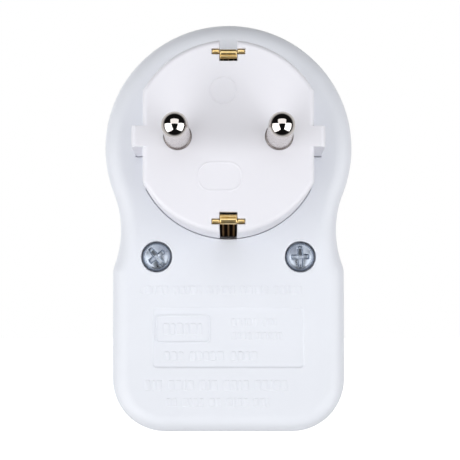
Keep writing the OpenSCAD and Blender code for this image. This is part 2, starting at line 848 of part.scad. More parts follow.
module varistor() {
    left = 8.5;
    z = -frame_top - 6;
    disc_r = 4.2;
    disc_t = 3.8;
    color("#2f5fa5") translate([left, leg_y + disc_r + 0.8, z]) rotate([0, 90, 0])
        cylinder(r = disc_r, h = disc_t);
    color(TIN) for (s = SIDES) bar_y(left + disc_t / 2, z + s * 2.5, leg_r, leg_y, leg_y + 3);
}

// Resistor lying across the board on two bent legs
module fusible_resistor() {
    x = -13.25;
    y = leg_y + 2;
    z = -frame_top - 10.3;
    length = 8.5;
    elbow = 1.1;
    color("#4f7f5a") translate([x - length / 2, y, z]) rotate([0, 90, 0]) cylinder(r = 1.6, h = length);
    color(TIN) for (s = SIDES) {
        leg_x = x + s * (length / 2 + elbow);
        bar_y(leg_x, z, leg_r, leg_y, y + leg_r);
        translate([min(leg_x, leg_x - s * (elbow + 0.3)), y, z]) rotate([0, 90, 0])
            cylinder(r = leg_r, h = elbow + 0.3);
    }
}

// Moulded chip with rows of flat legs above and below, centred at x and drop
module chip(x, drop, w, h, t, legs, pitch) {
    reach = h / 2 + 0.45;
    color(BLACK) span_box([x - w / 2, leg_y + 0.15, -drop - h / 2], [x + w / 2, leg_y + t, -drop + h / 2]);
    color(TIN) for (i = [0:legs - 1], s = SIDES) {
        leg_x = x + (i - (legs - 1) / 2) * pitch;
        span_box([leg_x - 0.2, leg_y, -drop + s * reach - 0.55],
            [leg_x + 0.2, leg_y + 0.4, -drop + s * reach + 0.55]);
    }
}

module rectifier() { chip(-4, frame_top + 12.2, 4.8, 3.8, 2.4, 2, 2.4); }
module metering_chip() { chip(-11.7, frame_top + 15.8, 9.9, 3.9, 1.6, 8, 1.27); }
module controller_chip() { chip(3.4, frame_top + 14.8, 7, 6.6, 1.4, 11, 0.6); }

module crystal() {
    can = [10.6, 4.4, 3.5];
    color(TIN) from_front(leg_y) translate([-4, -frame_top - 20.8, 0]) rotate([0, 0, 90])
        linear_extrude(can[2]) stadium(can[0], can[1]);
}

// Bent sheet: two feet and a bridge over the board
module measuring_shunt() {
    half = 3.6;
    sheet = 0.8;
    bend = 0.3;
    rise = leg_y + 5.3;
    color("#a9744f") translate([board_half - 3.8, 0, -frame_top - 5.2]) strip_yz([
        [leg_y, -half], [rise - sheet, -half], [rise, sheet - half], [rise, half - sheet],
        [rise - sheet, half], [leg_y, half], [leg_y, half - sheet], [rise - sheet - bend, half - sheet],
        [rise - sheet, half - sheet - bend], [rise - sheet, sheet + bend - half],
        [rise - sheet - bend, sheet - half], [leg_y, sheet - half]
    ], 3);
}

module backup_cell() {
    color("#c3c6c9") bar_y(cell_x, -cell_drop, cell_r, leg_y + 0.5, leg_y + 0.5 + cell_t);
}

// Clip of bent strip that holds the cell: foot, back and tongue
module cell_clip() {
    back = -cell_drop - cell_r - 0.2;
    sheet = 0.45;
    top = leg_y + cell_t + 0.85;
    color(STEEL) {
        span_box([cell_x - 1.2, leg_y, back], [cell_x + 1.2, leg_y + sheet, cell_r - cell_drop - 0.2]);
        span_box([cell_x - 1.2, top - 0.3, back - 0.6], [cell_x + 1.2, top, cell_r - cell_drop - 1.4]);
        span_box([cell_x - 1.2, leg_y, back - 0.6], [cell_x + 1.2, top, back]);
    }
}

// ---- Leads ----

// Tube of radius r in a plane of constant x, along YZ points that curves join
function bend_points(p) = [
    for (i = [0:len(p) - 1])
        if (i == 0 || i == len(p) - 1) p[i]
        else for (k = [0:4]) let (
                a = p[i] + (p[i - 1] - p[i]) * min(0.5, 2.4 / norm(p[i - 1] - p[i])),
                b = p[i] + (p[i + 1] - p[i]) * min(0.5, 2.4 / norm(p[i + 1] - p[i])),
                t = k / 4
            ) a * (1 - t) ^ 2 + p[i] * 2 * t * (1 - t) + b * t ^ 2
];

module lead(x, r, route, colour) {
    p = bend_points(route);
    n = len(p);
    rings = [for (i = [0:n - 1]) let (
            ahead = p[min(i + 1, n - 1)] - p[max(i - 1, 0)],
            side = [-ahead[1], ahead[0]] / norm(ahead)
        ) [for (a = [0:45:315]) let (off = p[i] + side * r * sin(a)) [x + r * cos(a), off[0], off[1]]]];
    color(colour) ring_tube(rings);
}

// From a plug pin's tail to the board
module in_lead(s, colour) {
    lead(s * 6.9, lead_r, [
        [-tail_len + 2, -tail_r - lead_r], [-tail_len + 2, -8.5], [lead_y, -10.5], [lead_y, lead_turn],
        [cup_floor_y - 2, lead_end], [leg_y + 0.1, lead_end]
    ], colour);
}

// From the board to a socket contact's tab
module out_lead(s, colour) {
    lead(s * 9.2, lead_r, [
        [contact_end_y - 0.7, -contact_r - 0.5], [contact_end_y - 0.7, -8.2], [lead_y, -11.2],
        [lead_y, lead_turn], [cup_floor_y - 2, lead_end], [leg_y + 0.1, lead_end]
    ], colour);
}

module line_in_lead() { in_lead(1, "#5a3a22"); }
module line_out_lead() { out_lead(1, "#5a3a22"); }
module neutral_in_lead() { in_lead(-1, "#2d5fb0"); }
module neutral_out_lead() { out_lead(-1, "#2d5fb0"); }

rear_shell();
front_shell();
plug_insert();
line_pin();
neutral_pin();
upper_earth_contact();
lower_earth_contact();
earth_bridge();
upper_earth_clip();
lower_earth_clip();
socket_cup();
shutter();
shutter_spring();
contact_carrier();
carrier_screws();
line_contact();
neutral_contact();
main_board();
board_screws();
display_glass();
display_frame();
display_window();
upper_connector_strip();
lower_connector_strip();
button_1();
button_2();
button_3();
button_4();
plunger_1();
plunger_2();
plunger_3();
plunger_4();
switch_bodies();
case_screws();
mains_capacitor();
reservoir_capacitor();
varistor();
fusible_resistor();
rectifier();
measuring_shunt();
metering_chip();
controller_chip();
crystal();
backup_cell();
cell_clip();
line_in_lead();
line_out_lead();
neutral_in_lead();
neutral_out_lead();
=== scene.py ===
import math

import bmesh
import bpy
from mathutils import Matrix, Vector


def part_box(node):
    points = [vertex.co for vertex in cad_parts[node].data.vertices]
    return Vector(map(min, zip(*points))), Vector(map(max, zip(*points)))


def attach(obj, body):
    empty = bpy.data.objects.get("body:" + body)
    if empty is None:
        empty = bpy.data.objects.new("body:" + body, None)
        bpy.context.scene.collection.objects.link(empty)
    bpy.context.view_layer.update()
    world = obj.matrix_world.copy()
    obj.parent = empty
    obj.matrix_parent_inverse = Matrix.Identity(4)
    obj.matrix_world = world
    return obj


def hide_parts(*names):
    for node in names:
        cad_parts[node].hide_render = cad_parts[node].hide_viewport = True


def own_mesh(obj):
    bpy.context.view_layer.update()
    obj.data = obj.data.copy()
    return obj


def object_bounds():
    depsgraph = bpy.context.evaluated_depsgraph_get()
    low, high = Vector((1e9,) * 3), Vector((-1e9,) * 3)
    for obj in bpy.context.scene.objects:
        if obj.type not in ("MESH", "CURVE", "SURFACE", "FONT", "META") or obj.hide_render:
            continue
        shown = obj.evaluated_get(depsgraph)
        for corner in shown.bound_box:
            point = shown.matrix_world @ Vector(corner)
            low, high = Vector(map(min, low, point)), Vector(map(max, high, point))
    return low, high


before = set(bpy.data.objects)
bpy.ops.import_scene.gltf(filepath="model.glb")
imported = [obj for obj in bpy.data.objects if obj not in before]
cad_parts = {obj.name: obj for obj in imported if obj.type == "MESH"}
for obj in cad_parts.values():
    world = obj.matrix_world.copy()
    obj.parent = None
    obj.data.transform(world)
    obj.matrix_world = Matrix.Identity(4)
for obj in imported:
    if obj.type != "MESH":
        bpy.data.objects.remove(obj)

cad_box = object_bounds()

# ---- Camera ----
# A long lens looks at the wall side of the meter from a short way off. It stands level with the case
# screws and tilts up a little, so that both pins are seen from below.
camera = bpy.data.objects.new("camera", bpy.data.cameras.new("camera"))
camera.data.lens = 134
camera.data.sensor_width = 36
camera.location = (-0.0003, 0.318, -0.0376)
camera.rotation_euler = (math.radians(93.6), 0, math.radians(180))
bpy.context.scene.collection.objects.link(camera)
bpy.context.scene.camera = camera
bpy.context.scene.view_settings.view_transform = "Standard"


# ---- Floor ----
# A plain white lacquered board that the meter stands on. It is only the stage: it throws no light back on
# the meter, mirrors don't show it and the low lamps shine past it.
def linear(shade):
    """Turns an sRGB hex colour into the linear values that the shaders take."""
    parts = [int(shade[i:i + 2], 16) / 255 for i in (1, 3, 5)]
    return [p / 12.92 if p <= 0.04045 else ((p + 0.055) / 1.055) ** 2.4 for p in parts] + [1]


def add(tree, kind, settings, sockets):
    """Adds a node: settings are its own, and sockets hold a value or a link for each of its inputs."""
    made = tree.nodes.new("ShaderNode" + kind)
    for name, value in settings.items():
        setattr(made, name, value)
    for name, value in sockets.items():
        if isinstance(value, bpy.types.NodeSocket):
            tree.links.new(value, made.inputs[name])
        else:
            made.inputs[name].default_value = value
    return made


def start_finish(name):
    """Starts a material and gives it back with its empty node tree."""
    finish = bpy.data.materials.new(name)
    finish.use_nodes = True
    finish.node_tree.nodes.clear()
    return finish, finish.node_tree


floor_size = 60
lacquer, tree = start_finish("white_lacquer_sprayed")
shader = add(tree, "BsdfPrincipled", {}, {
    "Base Color": linear("#d8d8d8"), "Roughness": 0.7,
    "Emission Color": linear("#ffffff"), "Emission Strength": 1.0})
add(tree, "OutputMaterial", {}, {"Surface": shader.outputs[0]})
bpy.ops.mesh.primitive_plane_add(size=floor_size, location=(0, 0, cad_box[0].z))
floor = bpy.context.object
floor.name = "floor"
floor.data.materials.append(lacquer)
floor.visible_glossy = False
floor.visible_diffuse = False
floor.visible_shadow = False

# ---- Light ----
# Three big softboxes stand around the camera, one above and one low on each side. The room is white behind
# the meter and dark on the camera's side, so polished pins show three bright patches on black. A fourth
# softbox, which mirrors don't show, lights the display side.
softboxes = [
    # name, direction from the meter, distance, width, height, power
    ("softbox_top", (0, 0.89, 0.455), 1.0, 1.3, 0.8, 4.5),
    ("softbox_left", (0.795, 0.477, -0.375), 1.0, 1.4, 1.2, 12.4),
    ("softbox_right", (-0.802, 0.511, -0.309), 1.0, 1.15, 1.1, 9.6),
    ("softbox_front", (0.35, -0.8, 0.55), 1.1, 0.9, 0.9, 5),
]
for name, direction, distance, width, height, power in softboxes:
    lamp = bpy.data.lights.new(name, "AREA")
    lamp.shape = "RECTANGLE"
    lamp.size = width
    lamp.size_y = height
    lamp.energy = power
    stand = bpy.data.objects.new(name, lamp)
    stand.location = Vector(direction).normalized() * distance
    stand.rotation_euler = Vector(direction).to_track_quat("Z", "Y").to_euler()
    stand.visible_camera = False
    stand.visible_glossy = name != "softbox_front"
    bpy.context.scene.collection.objects.link(stand)

room = bpy.data.worlds.new("white_room")
room.use_nodes = True
tree = room.node_tree
tree.nodes.clear()
way = add(tree, "TexCoord", {}, {})
split = add(tree, "SeparateXYZ", {}, {"Vector": way.outputs["Generated"]})
behind = add(tree, "MapRange", {"interpolation_type": "SMOOTHSTEP"}, {
    "Value": split.outputs["Y"], "From Min": -0.1, "From Max": -0.6, "To Min": 0.008, "To Max": 0.75})
seen = add(tree, "LightPath", {}, {})
level = add(tree, "Math", {"operation": "MAXIMUM"}, {0: behind.outputs[0], 1: seen.outputs["Is Camera Ray"]})
glow = add(tree, "Background", {}, {"Color": linear("#ffffff"), "Strength": level.outputs[0]})
add(tree, "OutputWorld", {}, {"Surface": glow.outputs[0]})
bpy.context.scene.world = room


# ---- Rear shell ----
# The wall half of the case, moulded in white ABS: a round head, a hollow neck and a square lower body with
# rounded edges. It has a fine spark-eroded grain, counterbores for two screws and a sunk label field.
MM = 0.001


def reach(node):
    """Lowest and highest corner of a CAD node, in millimetres."""
    low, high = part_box(node)
    return Vector(low) / MM, Vector(high) / MM


shell_low, shell_high = reach("rear_shell")
front_low, _ = reach("front_shell")
head_r = shell_high.z
body_drop = -shell_low.z
back_y = shell_high.y
parting_y = shell_low.y
front_y = front_low.y
wall = 2
body_half = 22.8
corner_r = 10.3
shoulder_r = 5
shoulder_drop = 24.95
neck_r = 19.8
shoulder_x = body_half - shoulder_r
corner_x = body_half - corner_r
corner_drop = body_drop - corner_r

# The neck circle touches the head and the shoulder
span = math.hypot(shoulder_x, shoulder_drop)
along = ((head_r + neck_r) ** 2 - (neck_r + shoulder_r) ** 2 + span ** 2) / (2 * span)
aside = math.sqrt((head_r + neck_r) ** 2 - along ** 2)
neck_x = (along * shoulder_x + aside * shoulder_drop) / span
neck_z = (aside * shoulder_x - along * shoulder_drop) / span
head_end = math.degrees(math.atan2(neck_z, neck_x))
neck_end = math.degrees(math.atan2(-shoulder_drop - neck_z, shoulder_x - neck_x)) + 360


def arc(x, z, r, start, end, steps):
    """Points on a circle from one angle to another, in degrees."""
    angles = [math.radians(start + (end - start) * k / steps) for k in range(steps + 1)]
    return [Vector((x + r * math.cos(a), z + r * math.sin(a))) for a in angles]


def circle(x, z, r, steps):
    """Points once round a circle."""
    return arc(x, z, r, 0, 360, steps)[:-1]


def case_outline(inset):
    """Outline of the case, moved in by inset: head, neck, shoulder and corner on each side."""
    right = (arc(0, 0, head_r - inset, 90, head_end, 36)
             + arc(neck_x, neck_z, neck_r + inset, head_end + 180, neck_end, 14)[1:]
             + arc(shoulder_x, -shoulder_drop, shoulder_r - inset, neck_end - 180, 0, 6)[1:]
             + arc(corner_x, -corner_drop, corner_r - inset, 0, -90, 14))
    left = [Vector((-p.x, p.y)) for p in reversed(right[1:])]
    return right + left


def at(outline, y):
    """Stands an outline up in the plane at y."""
    return [Vector((p.x, y, p.y)) for p in outline]


def skin(bm, rings):
    """Joins closed rings of the same length, and gives back the vertices of the first and the last."""
    rows = [[bm.verts.new(p) for p in ring] for ring in rings]
    for low, high in zip(rows, rows[1:]):
        for i in range(len(low)):
            bm.faces.new((low[i - 1], low[i], high[i], high[i - 1]))
    return rows[0], rows[-1]


def flat(bm, *loops):
    """Fills the plane between an outer loop of vertices and the loops of its holes."""
    edges = []
    for loop in loops:
        for i in range(len(loop)):
            pair = (loop[i - 1], loop[i])
            edges.append(bm.edges.get(pair) or bm.edges.new(pair))
    bmesh.ops.triangle_fill(bm, use_beauty=True, edges=edges)


def round_over(r, side, y, toward, steps=6):
    """Profile of a rounded edge: insets that start at side + r on the plane y and end at side."""
    turns = [math.pi / 2 * k / steps for k in range(steps + 1)]
    return [(side + r * (1 - math.sin(a)), y + toward * r * (1 - math.cos(a))) for a in turns]


def make(bm, name, finish, body, *nodes, slot=None, sharp=38):
    """Turns a mesh drawn in millimetres into a piece that rides on a body and stands for CAD nodes."""
    bmesh.ops.remove_doubles(bm, verts=bm.verts, dist=0.0005)
    bmesh.ops.recalc_face_normals(bm, faces=bm.faces)
    bmesh.ops.scale(bm, vec=(MM, MM, MM), verts=bm.verts)
    mesh = bpy.data.meshes.new(name)
    bm.to_mesh(mesh)
    bm.free()
    mesh.shade_smooth()
    mesh.set_sharp_from_angle(angle=math.radians(sharp))
    mesh.materials.append(finish)
    made = bpy.data.objects.new(name, mesh)
    bpy.context.scene.collection.objects.link(made)
    made.modifiers.new("even_shading", "WEIGHTED_NORMAL").keep_sharp = True
    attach(made, body)
    if nodes:
        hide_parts(*nodes)
    return made


def moulded(name, shade, worn, roughness, ior, grain, depth):
    """Moulded plastic: a fine grain from the mould, faint flow clouds, and a slightly uneven gloss."""
    finish, tree = start_finish(name)
    place = add(tree, "TexCoord", {}, {}).outputs["Object"]
    fine = add(tree, "TexNoise", {}, {
        "Vector": place, "Scale": 1 / (grain * MM), "Detail": 3, "Roughness": 0.6})
    cloud = add(tree, "TexNoise", {}, {"Vector": place, "Scale": 1 / (14 * MM), "Detail": 2})
    tint = add(tree, "Mix", {"data_type": "RGBA"}, {
        "Factor": cloud.outputs["Fac"], 6: linear(shade), 7: linear(worn)})
    gloss = add(tree, "MapRange", {}, {
        "Value": fine.outputs["Fac"], "To Min": roughness - 0.05, "To Max": roughness + 0.07})
    bump = add(tree, "Bump", {}, {"Height": fine.outputs["Fac"], "Strength": 0.35, "Distance": depth * MM})
    shader = add(tree, "BsdfPrincipled", {}, {
        "Base Color": tint.outputs[2], "Roughness": gloss.outputs[0], "IOR": ior, "Normal": bump.outputs[0]})
    add(tree, "OutputMaterial", {}, {"Surface": shader.outputs[0]})
    return finish


# ABS takes the mould's grain sharply, which gives a soft, broad sheen. The real grain is 0.1 mm, and it is
# drawn at 0.3 mm so that it shows.
white_abs = moulded("white_abs_moulded", "#e7eaf1", "#e3e6ed", 0.42, 1.53, 0.3, 0.02)

screw_x = 14.1
screw_drop = 21.75
post_r = 3.55
counterbore_r = 3.05
sink_y = back_y - 2.4
back_edge_r = 3.5
front_edge_r = 2.8
inner_back_y = back_y - wall
lip_t = 1
lip_end_y = parting_y + 1.5
screw_hole_r = 1.55
rear_side_y = -26
label_depth = 0.3


def screw_well(bm, side):
    """Counterbore and hollow post for a case screw, from the back face to the inner face."""
    def ring(r, y):
        return at(circle(side * screw_x, -screw_drop, r, 48), y)
    mouth = [ring(counterbore_r + inset, y) for inset, y in round_over(0.3, 0, back_y, -1)]
    return skin(bm, mouth + [
        ring(counterbore_r, sink_y), ring(screw_hole_r, sink_y), ring(screw_hole_r, parting_y + 0.1),
        ring(post_r, parting_y + 0.1), ring(post_r, inner_back_y)])


def round_with_flats(r, half, key):
    """Circle with a flat on each side, and a key or keyway in the middle of each flat."""
    flat_turn = math.degrees(math.acos(half / r))
    key_turn = math.degrees(math.asin(key / r))
    right = (arc(0, 0, r, -90, -flat_turn, 24) + [Vector((half, -key))]
             + arc(0, 0, r, -key_turn, key_turn, 4) + [Vector((half, key))]
             + arc(0, 0, r, flat_turn, 90, 24)[:-1])
    return right + [-p for p in right]


def inset(outline, by):
    """Moves each side of an anticlockwise outline in by its own distance, and keeps its corners."""
    moved = []
    for i, here in enumerate(outline):
        before = (here - outline[i - 1]).normalized()
        after = (outline[(i + 1) % len(outline)] - here).normalized()
        turn = before.x * after.y - before.y * after.x
        a, b = by[i - 1], by[i]
        if abs(turn) < 1e-5:
            moved.append(here + a * Vector((-before.y, before.x)))
        else:
            moved.append(here + (a * after - b * before) / turn)
    return moved


def grow(outline, by):
    """Moves the whole outline out by one distance."""
    return inset(outline, [-by] * len(outline))


def round_rect(w, h, r, x=0, z=0, steps=6):
    """Rounded rectangle, anticlockwise."""
    corners = [(1, -1, -90), (1, 1, 0), (-1, 1, 90), (-1, -1, 180)]
    return [p for u, v, start in corners
            for p in arc(x + u * (w / 2 - r), z + v * (h / 2 - r), r, start, start + 90, steps)]


plug_r = 18.2
plug_half = 16.05
plug_key = 2.025
fit_gap = 0.1
label_w, label_h, label_drop = 29.5, 11.7, 37.6

bm = bmesh.new()
profile = (round_over(back_edge_r, 0, back_y, -1, 10) + [(0, rear_side_y), (0, parting_y + 0.25)]
           + [(0.07, parting_y + 0.07), (0.25, parting_y), (lip_t, parting_y), (lip_t, lip_end_y + 0.1)]
           + [(wall, lip_end_y + 0.1)]
           + list(reversed(round_over(1.5, wall, inner_back_y, -1))))
outer, inner = skin(bm, [at(case_outline(s), y) for s, y in profile])
wells = [screw_well(bm, side) for side in (-1, 1)]
hole = round_with_flats(plug_r + fit_gap, plug_half + fit_gap, plug_key + fit_gap)
hole_mouth, hole_end = skin(bm, [at(grow(hole, s), y) for s, y in round_over(0.25, 0, back_y, -1, 4)]
                            + [at(hole, inner_back_y)])
field = round_rect(label_w, label_h, 0.8, 0, -label_drop)
field_mouth, field_floor = skin(bm, [
    *[at(grow(field, s), y) for s, y in round_over(0.15, 0, back_y, -1, 4)],
    at(grow(field, -0.2), back_y - label_depth + 0.04), at(grow(field, -0.3), back_y - label_depth)])
flat(bm, outer, hole_mouth, field_mouth, *[well[0] for well in wells])
flat(bm, inner, hole_end, *[well[1] for well in wells])
flat(bm, field_floor)
make(bm, "rear_case_half", white_abs, "meter", "rear_shell", slot="body_abs")


# ---- Moulded rows on the rear shell ----
# Low raised rows, cut into the mould where a meter carries its ratings. They are plain bars without
# letters, part of the same white ABS, and they only show by the light on their edges.
def raised_bar(bm, x, z, w, h, y, rise, r=0.25):
    """Low bar with rounded corners and a rounded top edge."""
    bar = round_rect(w, h, min(r, w / 2.1, h / 2.1), x, z, 3)
    soft = min(0.09, rise)
    rings = [at(bar, y - 0.05), at(bar, y + rise - soft), at(grow(bar, -soft * 0.4), y + rise - soft * 0.3),
             at(grow(bar, -soft), y + rise)]
    foot, top = skin(bm, rings)
    flat(bm, top)
    flat(bm, foot)


bar_gap = 0.32


def raised_row(bm, z, left, widths, h, y, rise):
    """Row of bars from left, each as wide as said. A negative width is a gap between words."""
    x = left
    for w in widths:
        if w > 0:
            raised_bar(bm, x - w / 2, z, w, h, y, rise)
        x -= abs(w) + bar_gap


rows = [
    # drop, left end, height, rise, bar widths with gaps between words
    (28.3, 17.2, 1.7, 0.07, [0.9, 0.9, 0.5, 0.9, 0.9, -0.5] * 5),
    (46.9, 16.4, 2.1, 0.07, [1.1, 0.6, 1.1, -0.6, 1.1, 1.1, 0.6, 1.1, -0.6] * 2 + [1.1, 1.1, 0.6, 1.1, 1.1]),
    (50.2, 12.2, 1.7, 0.07, [0.9, 0.9, -0.5, 0.9, 0.5, 0.9, 0.9, -0.5] * 2 + [0.9, 0.9, 0.5]),
]
field_rows = [
    (34.6, -0.6, 1.5, 0.08, [0.8, 0.8, 0.5, 0.8, 0.8, -0.4, 0.8, 0.8, 0.5]),
    (37.3, -0.6, 1.5, 0.08, [0.8, 0.5, 0.8, 0.8, -0.4, 0.8, 0.8, 0.5, 0.8, 0.8]),
    (41.2, 12.6, 1.8, 0.1, [1.1, 1, 1, -0.7, 1, 1, 1, 1, 1.3, -0.8, 1, 1, 1, 1.1]),
]
bm = bmesh.new()
for drop, left, height, rise, widths in rows:
    raised_row(bm, -drop, left, widths, height, back_y, rise)
for drop, left, height, rise, widths in field_rows:
    raised_row(bm, -drop, left, widths, height, back_y - label_depth, rise)
make(bm, "moulded_rows", white_abs, "meter", slot="body_abs")


def raised_frame(bm, outer, inner, y, rise):
    """Raised line between two outlines of the same length."""
    rings = [at(outer, y - 0.05), at(outer, y + rise * 0.5), at(grow(outer, -0.07), y + rise),
             at(grow(inner, 0.07), y + rise), at(inner, y + rise * 0.5), at(inner, y - 0.05)]
    skin(bm, rings + rings[:1])


bm = bmesh.new()
raised_frame(bm, round_rect(10.8, 5.6, 0.9, 8.9, -35.9), round_rect(10.1, 4.9, 0.6, 8.9, -35.9),
             back_y - label_depth, 0.15)
raised_row(bm, -35.9, 12.8, [1.2, 0.8, 1.2, 0.8, 1.2, 0.8], 2.2, back_y - label_depth, 0.12)
make(bm, "moulded_field_frame", white_abs, "meter", slot="body_abs")

# ---- Front shell ----
# The user's half of the same white ABS. It has a round opening for the socket, a sunk seat for the display
# window and four holes for the buttons, and a lip that goes into the rear shell.
inner_front_y = front_y + wall
cup_r = 21.4
window_low, window_high = reach("display_window")
window_w = window_high.x - window_low.x
window_h = window_high.z - window_low.z
display_z = (window_high.z + window_low.z) / 2
seat_y = window_high.y + fit_gap
window_rim = 1.4
front_side_y = -40
button_gap = 0.15
pilot_r = 1.5
pilot_depth = 3
button_boxes = [reach(f"button_{i}") for i in (1, 2, 3, 4)]
button_xs = [(low.x + high.x) / 2 for low, high in button_boxes]
button_z = (button_boxes[0][0].z + button_boxes[0][1].z) / 2
button_w, button_h = 7.2, 4.2


def stadium(w, h, x, z):
    """Long shape with round ends."""
    return round_rect(w, h, h / 2 - 0.001, x, z, 12)


bm = bmesh.new()
profile = (round_over(front_edge_r, 0, front_y, 1, 10) + [(0, front_side_y), (0, parting_y - 0.25)]
           + [(0.07, parting_y - 0.07), (0.25, parting_y - 0.02), (1.1, parting_y - 0.02), (1.1, lip_end_y)]
           + [(wall, lip_end_y)] + list(reversed(round_over(0.8, wall, inner_front_y, 1))))
outer, inner = skin(bm, [at(case_outline(s), y) for s, y in profile])
mouths, ends = [outer], [inner]
opening = circle(0, 0, cup_r + fit_gap, 120)
seat = round_rect(window_w + 2 * fit_gap, window_h + 2 * fit_gap, 1, 0, display_z)
view_hole = round_rect(window_w - 2 * window_rim, window_h - 2 * window_rim, 1 - 0.4, 0, display_z)
sleeves = [
    [at(grow(opening, s), y) for s, y in round_over(0.1, 0, front_y, 1, 2)] + [at(opening, inner_front_y)],
    [at(grow(seat, s), y) for s, y in round_over(0.2, 0, front_y, 1, 4)]
    + [at(seat, seat_y), at(view_hole, seat_y), at(view_hole, inner_front_y)]]
for x in button_xs:
    gap = stadium(button_w + 2 * button_gap, button_h + 2 * button_gap, x, button_z)
    sleeves.append([at(grow(gap, s), y) for s, y in round_over(0.25, 0, front_y, 1, 4)]
                   + [at(gap, inner_front_y)])
for rings in sleeves:
    mouth, end = skin(bm, rings)
    mouths.append(mouth)
    ends.append(end)
for side in (-1, 1):
    post = [at(circle(side * screw_x, -screw_drop, r, 36), y) for r, y in
            ((post_r, inner_front_y), (post_r, parting_y - 0.1), (pilot_r, parting_y - 0.1),
             (pilot_r, inner_front_y + pilot_depth))]
    foot, bottom = skin(bm, post)
    flat(bm, bottom)
    ends.append(foot)
flat(bm, *mouths)
flat(bm, *ends)
make(bm, "front_case_half", white_abs, "meter", "front_shell", slot="body_abs")

# ---- Plug insert ----
# A separate moulding in white PBT, which stands heat better than ABS and leaves the mould smoother and
# slightly waxy: a round boss with a flat and a key on each side, and a channel at the top and bottom in
# which the earth contacts lie.
white_pbt = moulded("white_pbt_moulded", "#ededf4", "#e9e9f0", 0.36, 1.55, 0.5, 0.015)

face_edge_r = 1
channel = 1.65
channel_floor = 15.9
slit_low = 14.25
ear_half, ear_low, ear_high = 3.1, 15.5, 16.45
ear_floor_y = -1.6
slit_floor_y = -4
line_low, line_high = reach("line_pin")
pin_x = (line_low.x + line_high.x) / 2
pin_r = 2.4
hole_r = 2.65
face_t = 2
flange_r = 20.5
flange_front_y = inner_back_y - 0.05
flange_back_y = inner_back_y - 1.75
hollow_r = 13.6
rim_z = math.sqrt(plug_r ** 2 - channel ** 2)


def boss_outline(notch):
    """Outline of the boss, and how far each side draws in at the face, with a notch at top and bottom."""
    crisp = 0.15
    start = math.degrees(math.atan2(rim_z, channel))
    flat_turn = math.degrees(math.acos(plug_half / plug_r))
    key_turn = math.degrees(math.asin(plug_key / plug_r))
    low = [(Vector((x, -z)), crisp) for x, z in notch]
    low_arc = [(p, face_edge_r) for p in arc(0, 0, plug_r, -start, -flat_turn, 22)]
    key = ([(Vector((plug_half, -plug_key)), crisp)]
           + [(p, face_edge_r) for p in arc(0, 0, plug_r, -key_turn, key_turn, 4)[:-1]]
           + [(arc(0, 0, plug_r, key_turn, 90, 1)[0], crisp), (Vector((plug_half, plug_key)), face_edge_r)])
    high_arc = [(p, face_edge_r) for p in arc(0, 0, plug_r, flat_turn, start, 22)[:-1]]
    rim = [(arc(0, 0, plug_r, start, 90, 1)[0], crisp)]
    high = [(Vector((x, z)), crisp) for x, z in reversed(notch)]
    right = low + low_arc + key + high_arc + rim + high
    whole = right + [(-p, by) for p, by in right]
    return [p for p, by in whole], [by for p, by in whole]


bm = bmesh.new()
ears, ear_draw = boss_outline([(channel, slit_low), (channel, ear_low), (ear_half, ear_low),
                               (ear_half, ear_high), (channel, ear_high)])
slits, _ = boss_outline([(channel, slit_low), (channel, ear_low), (channel, channel_floor),
                         (channel, ear_high)])
plain, _ = boss_outline([(channel, channel_floor), (channel, ear_high)])
edge = []
for k in range(9):
    a = math.pi / 2 * k / 8
    drawn_in = inset(ears, [by * (1 - math.sin(a)) for by in ear_draw])
    edge.append(at(drawn_in, -face_edge_r * (1 - math.cos(a))))
face, _ = skin(bm, edge + [at(ears, ear_floor_y)])
skin(bm, [at(slits, ear_floor_y), at(slits, slit_floor_y)])
_, foot = skin(bm, [at(plain, slit_floor_y), at(plain, flange_front_y)])
for v in (-1, 1):
    for u in (-1, 1):
        pocket = [(channel, ear_low), (ear_half, ear_low), (ear_half, ear_high), (channel, ear_high),
                  (channel, channel_floor)]
        bm.faces.new([bm.verts.new((u * x, ear_floor_y, v * z)) for x, z in pocket])
    trench = [(1, slit_low), (1, ear_low), (1, channel_floor),
              (-1, channel_floor), (-1, ear_low), (-1, slit_low)]
    bm.faces.new([bm.verts.new((u * channel, slit_floor_y, v * z)) for u, z in trench])
pin_holes = []
for side in (-1, 1):
    mouth = [at(circle(side * pin_x, 0, hole_r + s, 48), y)
             for s, y in round_over(0.06, 0, 0, -1, 3)]
    pin_holes.append(skin(bm, mouth + [at(circle(side * pin_x, 0, hole_r, 48), -face_t)]))
flat(bm, face, *[pin_hole[0] for pin_hole in pin_holes])
flange_front, flange_back = skin(bm, [at(circle(0, 0, flange_r, 96), y)
                                      for y in (flange_front_y, flange_back_y)])
hollow_low, hollow_high = skin(bm, [at(circle(0, 0, hollow_r, 96), y) for y in (flange_back_y, -face_t)])
flat(bm, flange_front, foot)
flat(bm, flange_back, hollow_low)
flat(bm, hollow_high, *[pin_hole[1] for pin_hole in pin_holes])
make(bm, "plug_boss", white_pbt, "meter", "plug_insert", slot="insert_pbt")

# Two plain marks on the face, a ring and a rounded frame, low enough to show only as fine lines.
bm = bmesh.new()
raised_frame(bm, circle(1, 8.6, 2.6, 48), circle(1, 8.6, 2.3, 48), 0, 0.1)
raised_frame(bm, round_rect(8.4, 5.6, 2.4, 1.6, -7.6), round_rect(7.7, 4.9, 2.1, 1.6, -7.6), 0, 0.1)
make(bm, "boss_marks", white_pbt, "meter", slot="insert_pbt")


# ---- Pins ----
# Brass rod, turned to a round tip, nickel-plated and polished. Each pin has a flange behind the face and a
# collar in its hole, and the tip is polished like a mirror.
def turned(bm, profile, x, z, steps=48):
    """Turns a profile of radius and y about an axis along Y."""
    foot, top = skin(bm, [at(circle(x, z, r, steps), y) for r, y in profile])
    flat(bm, foot)
    flat(bm, top)


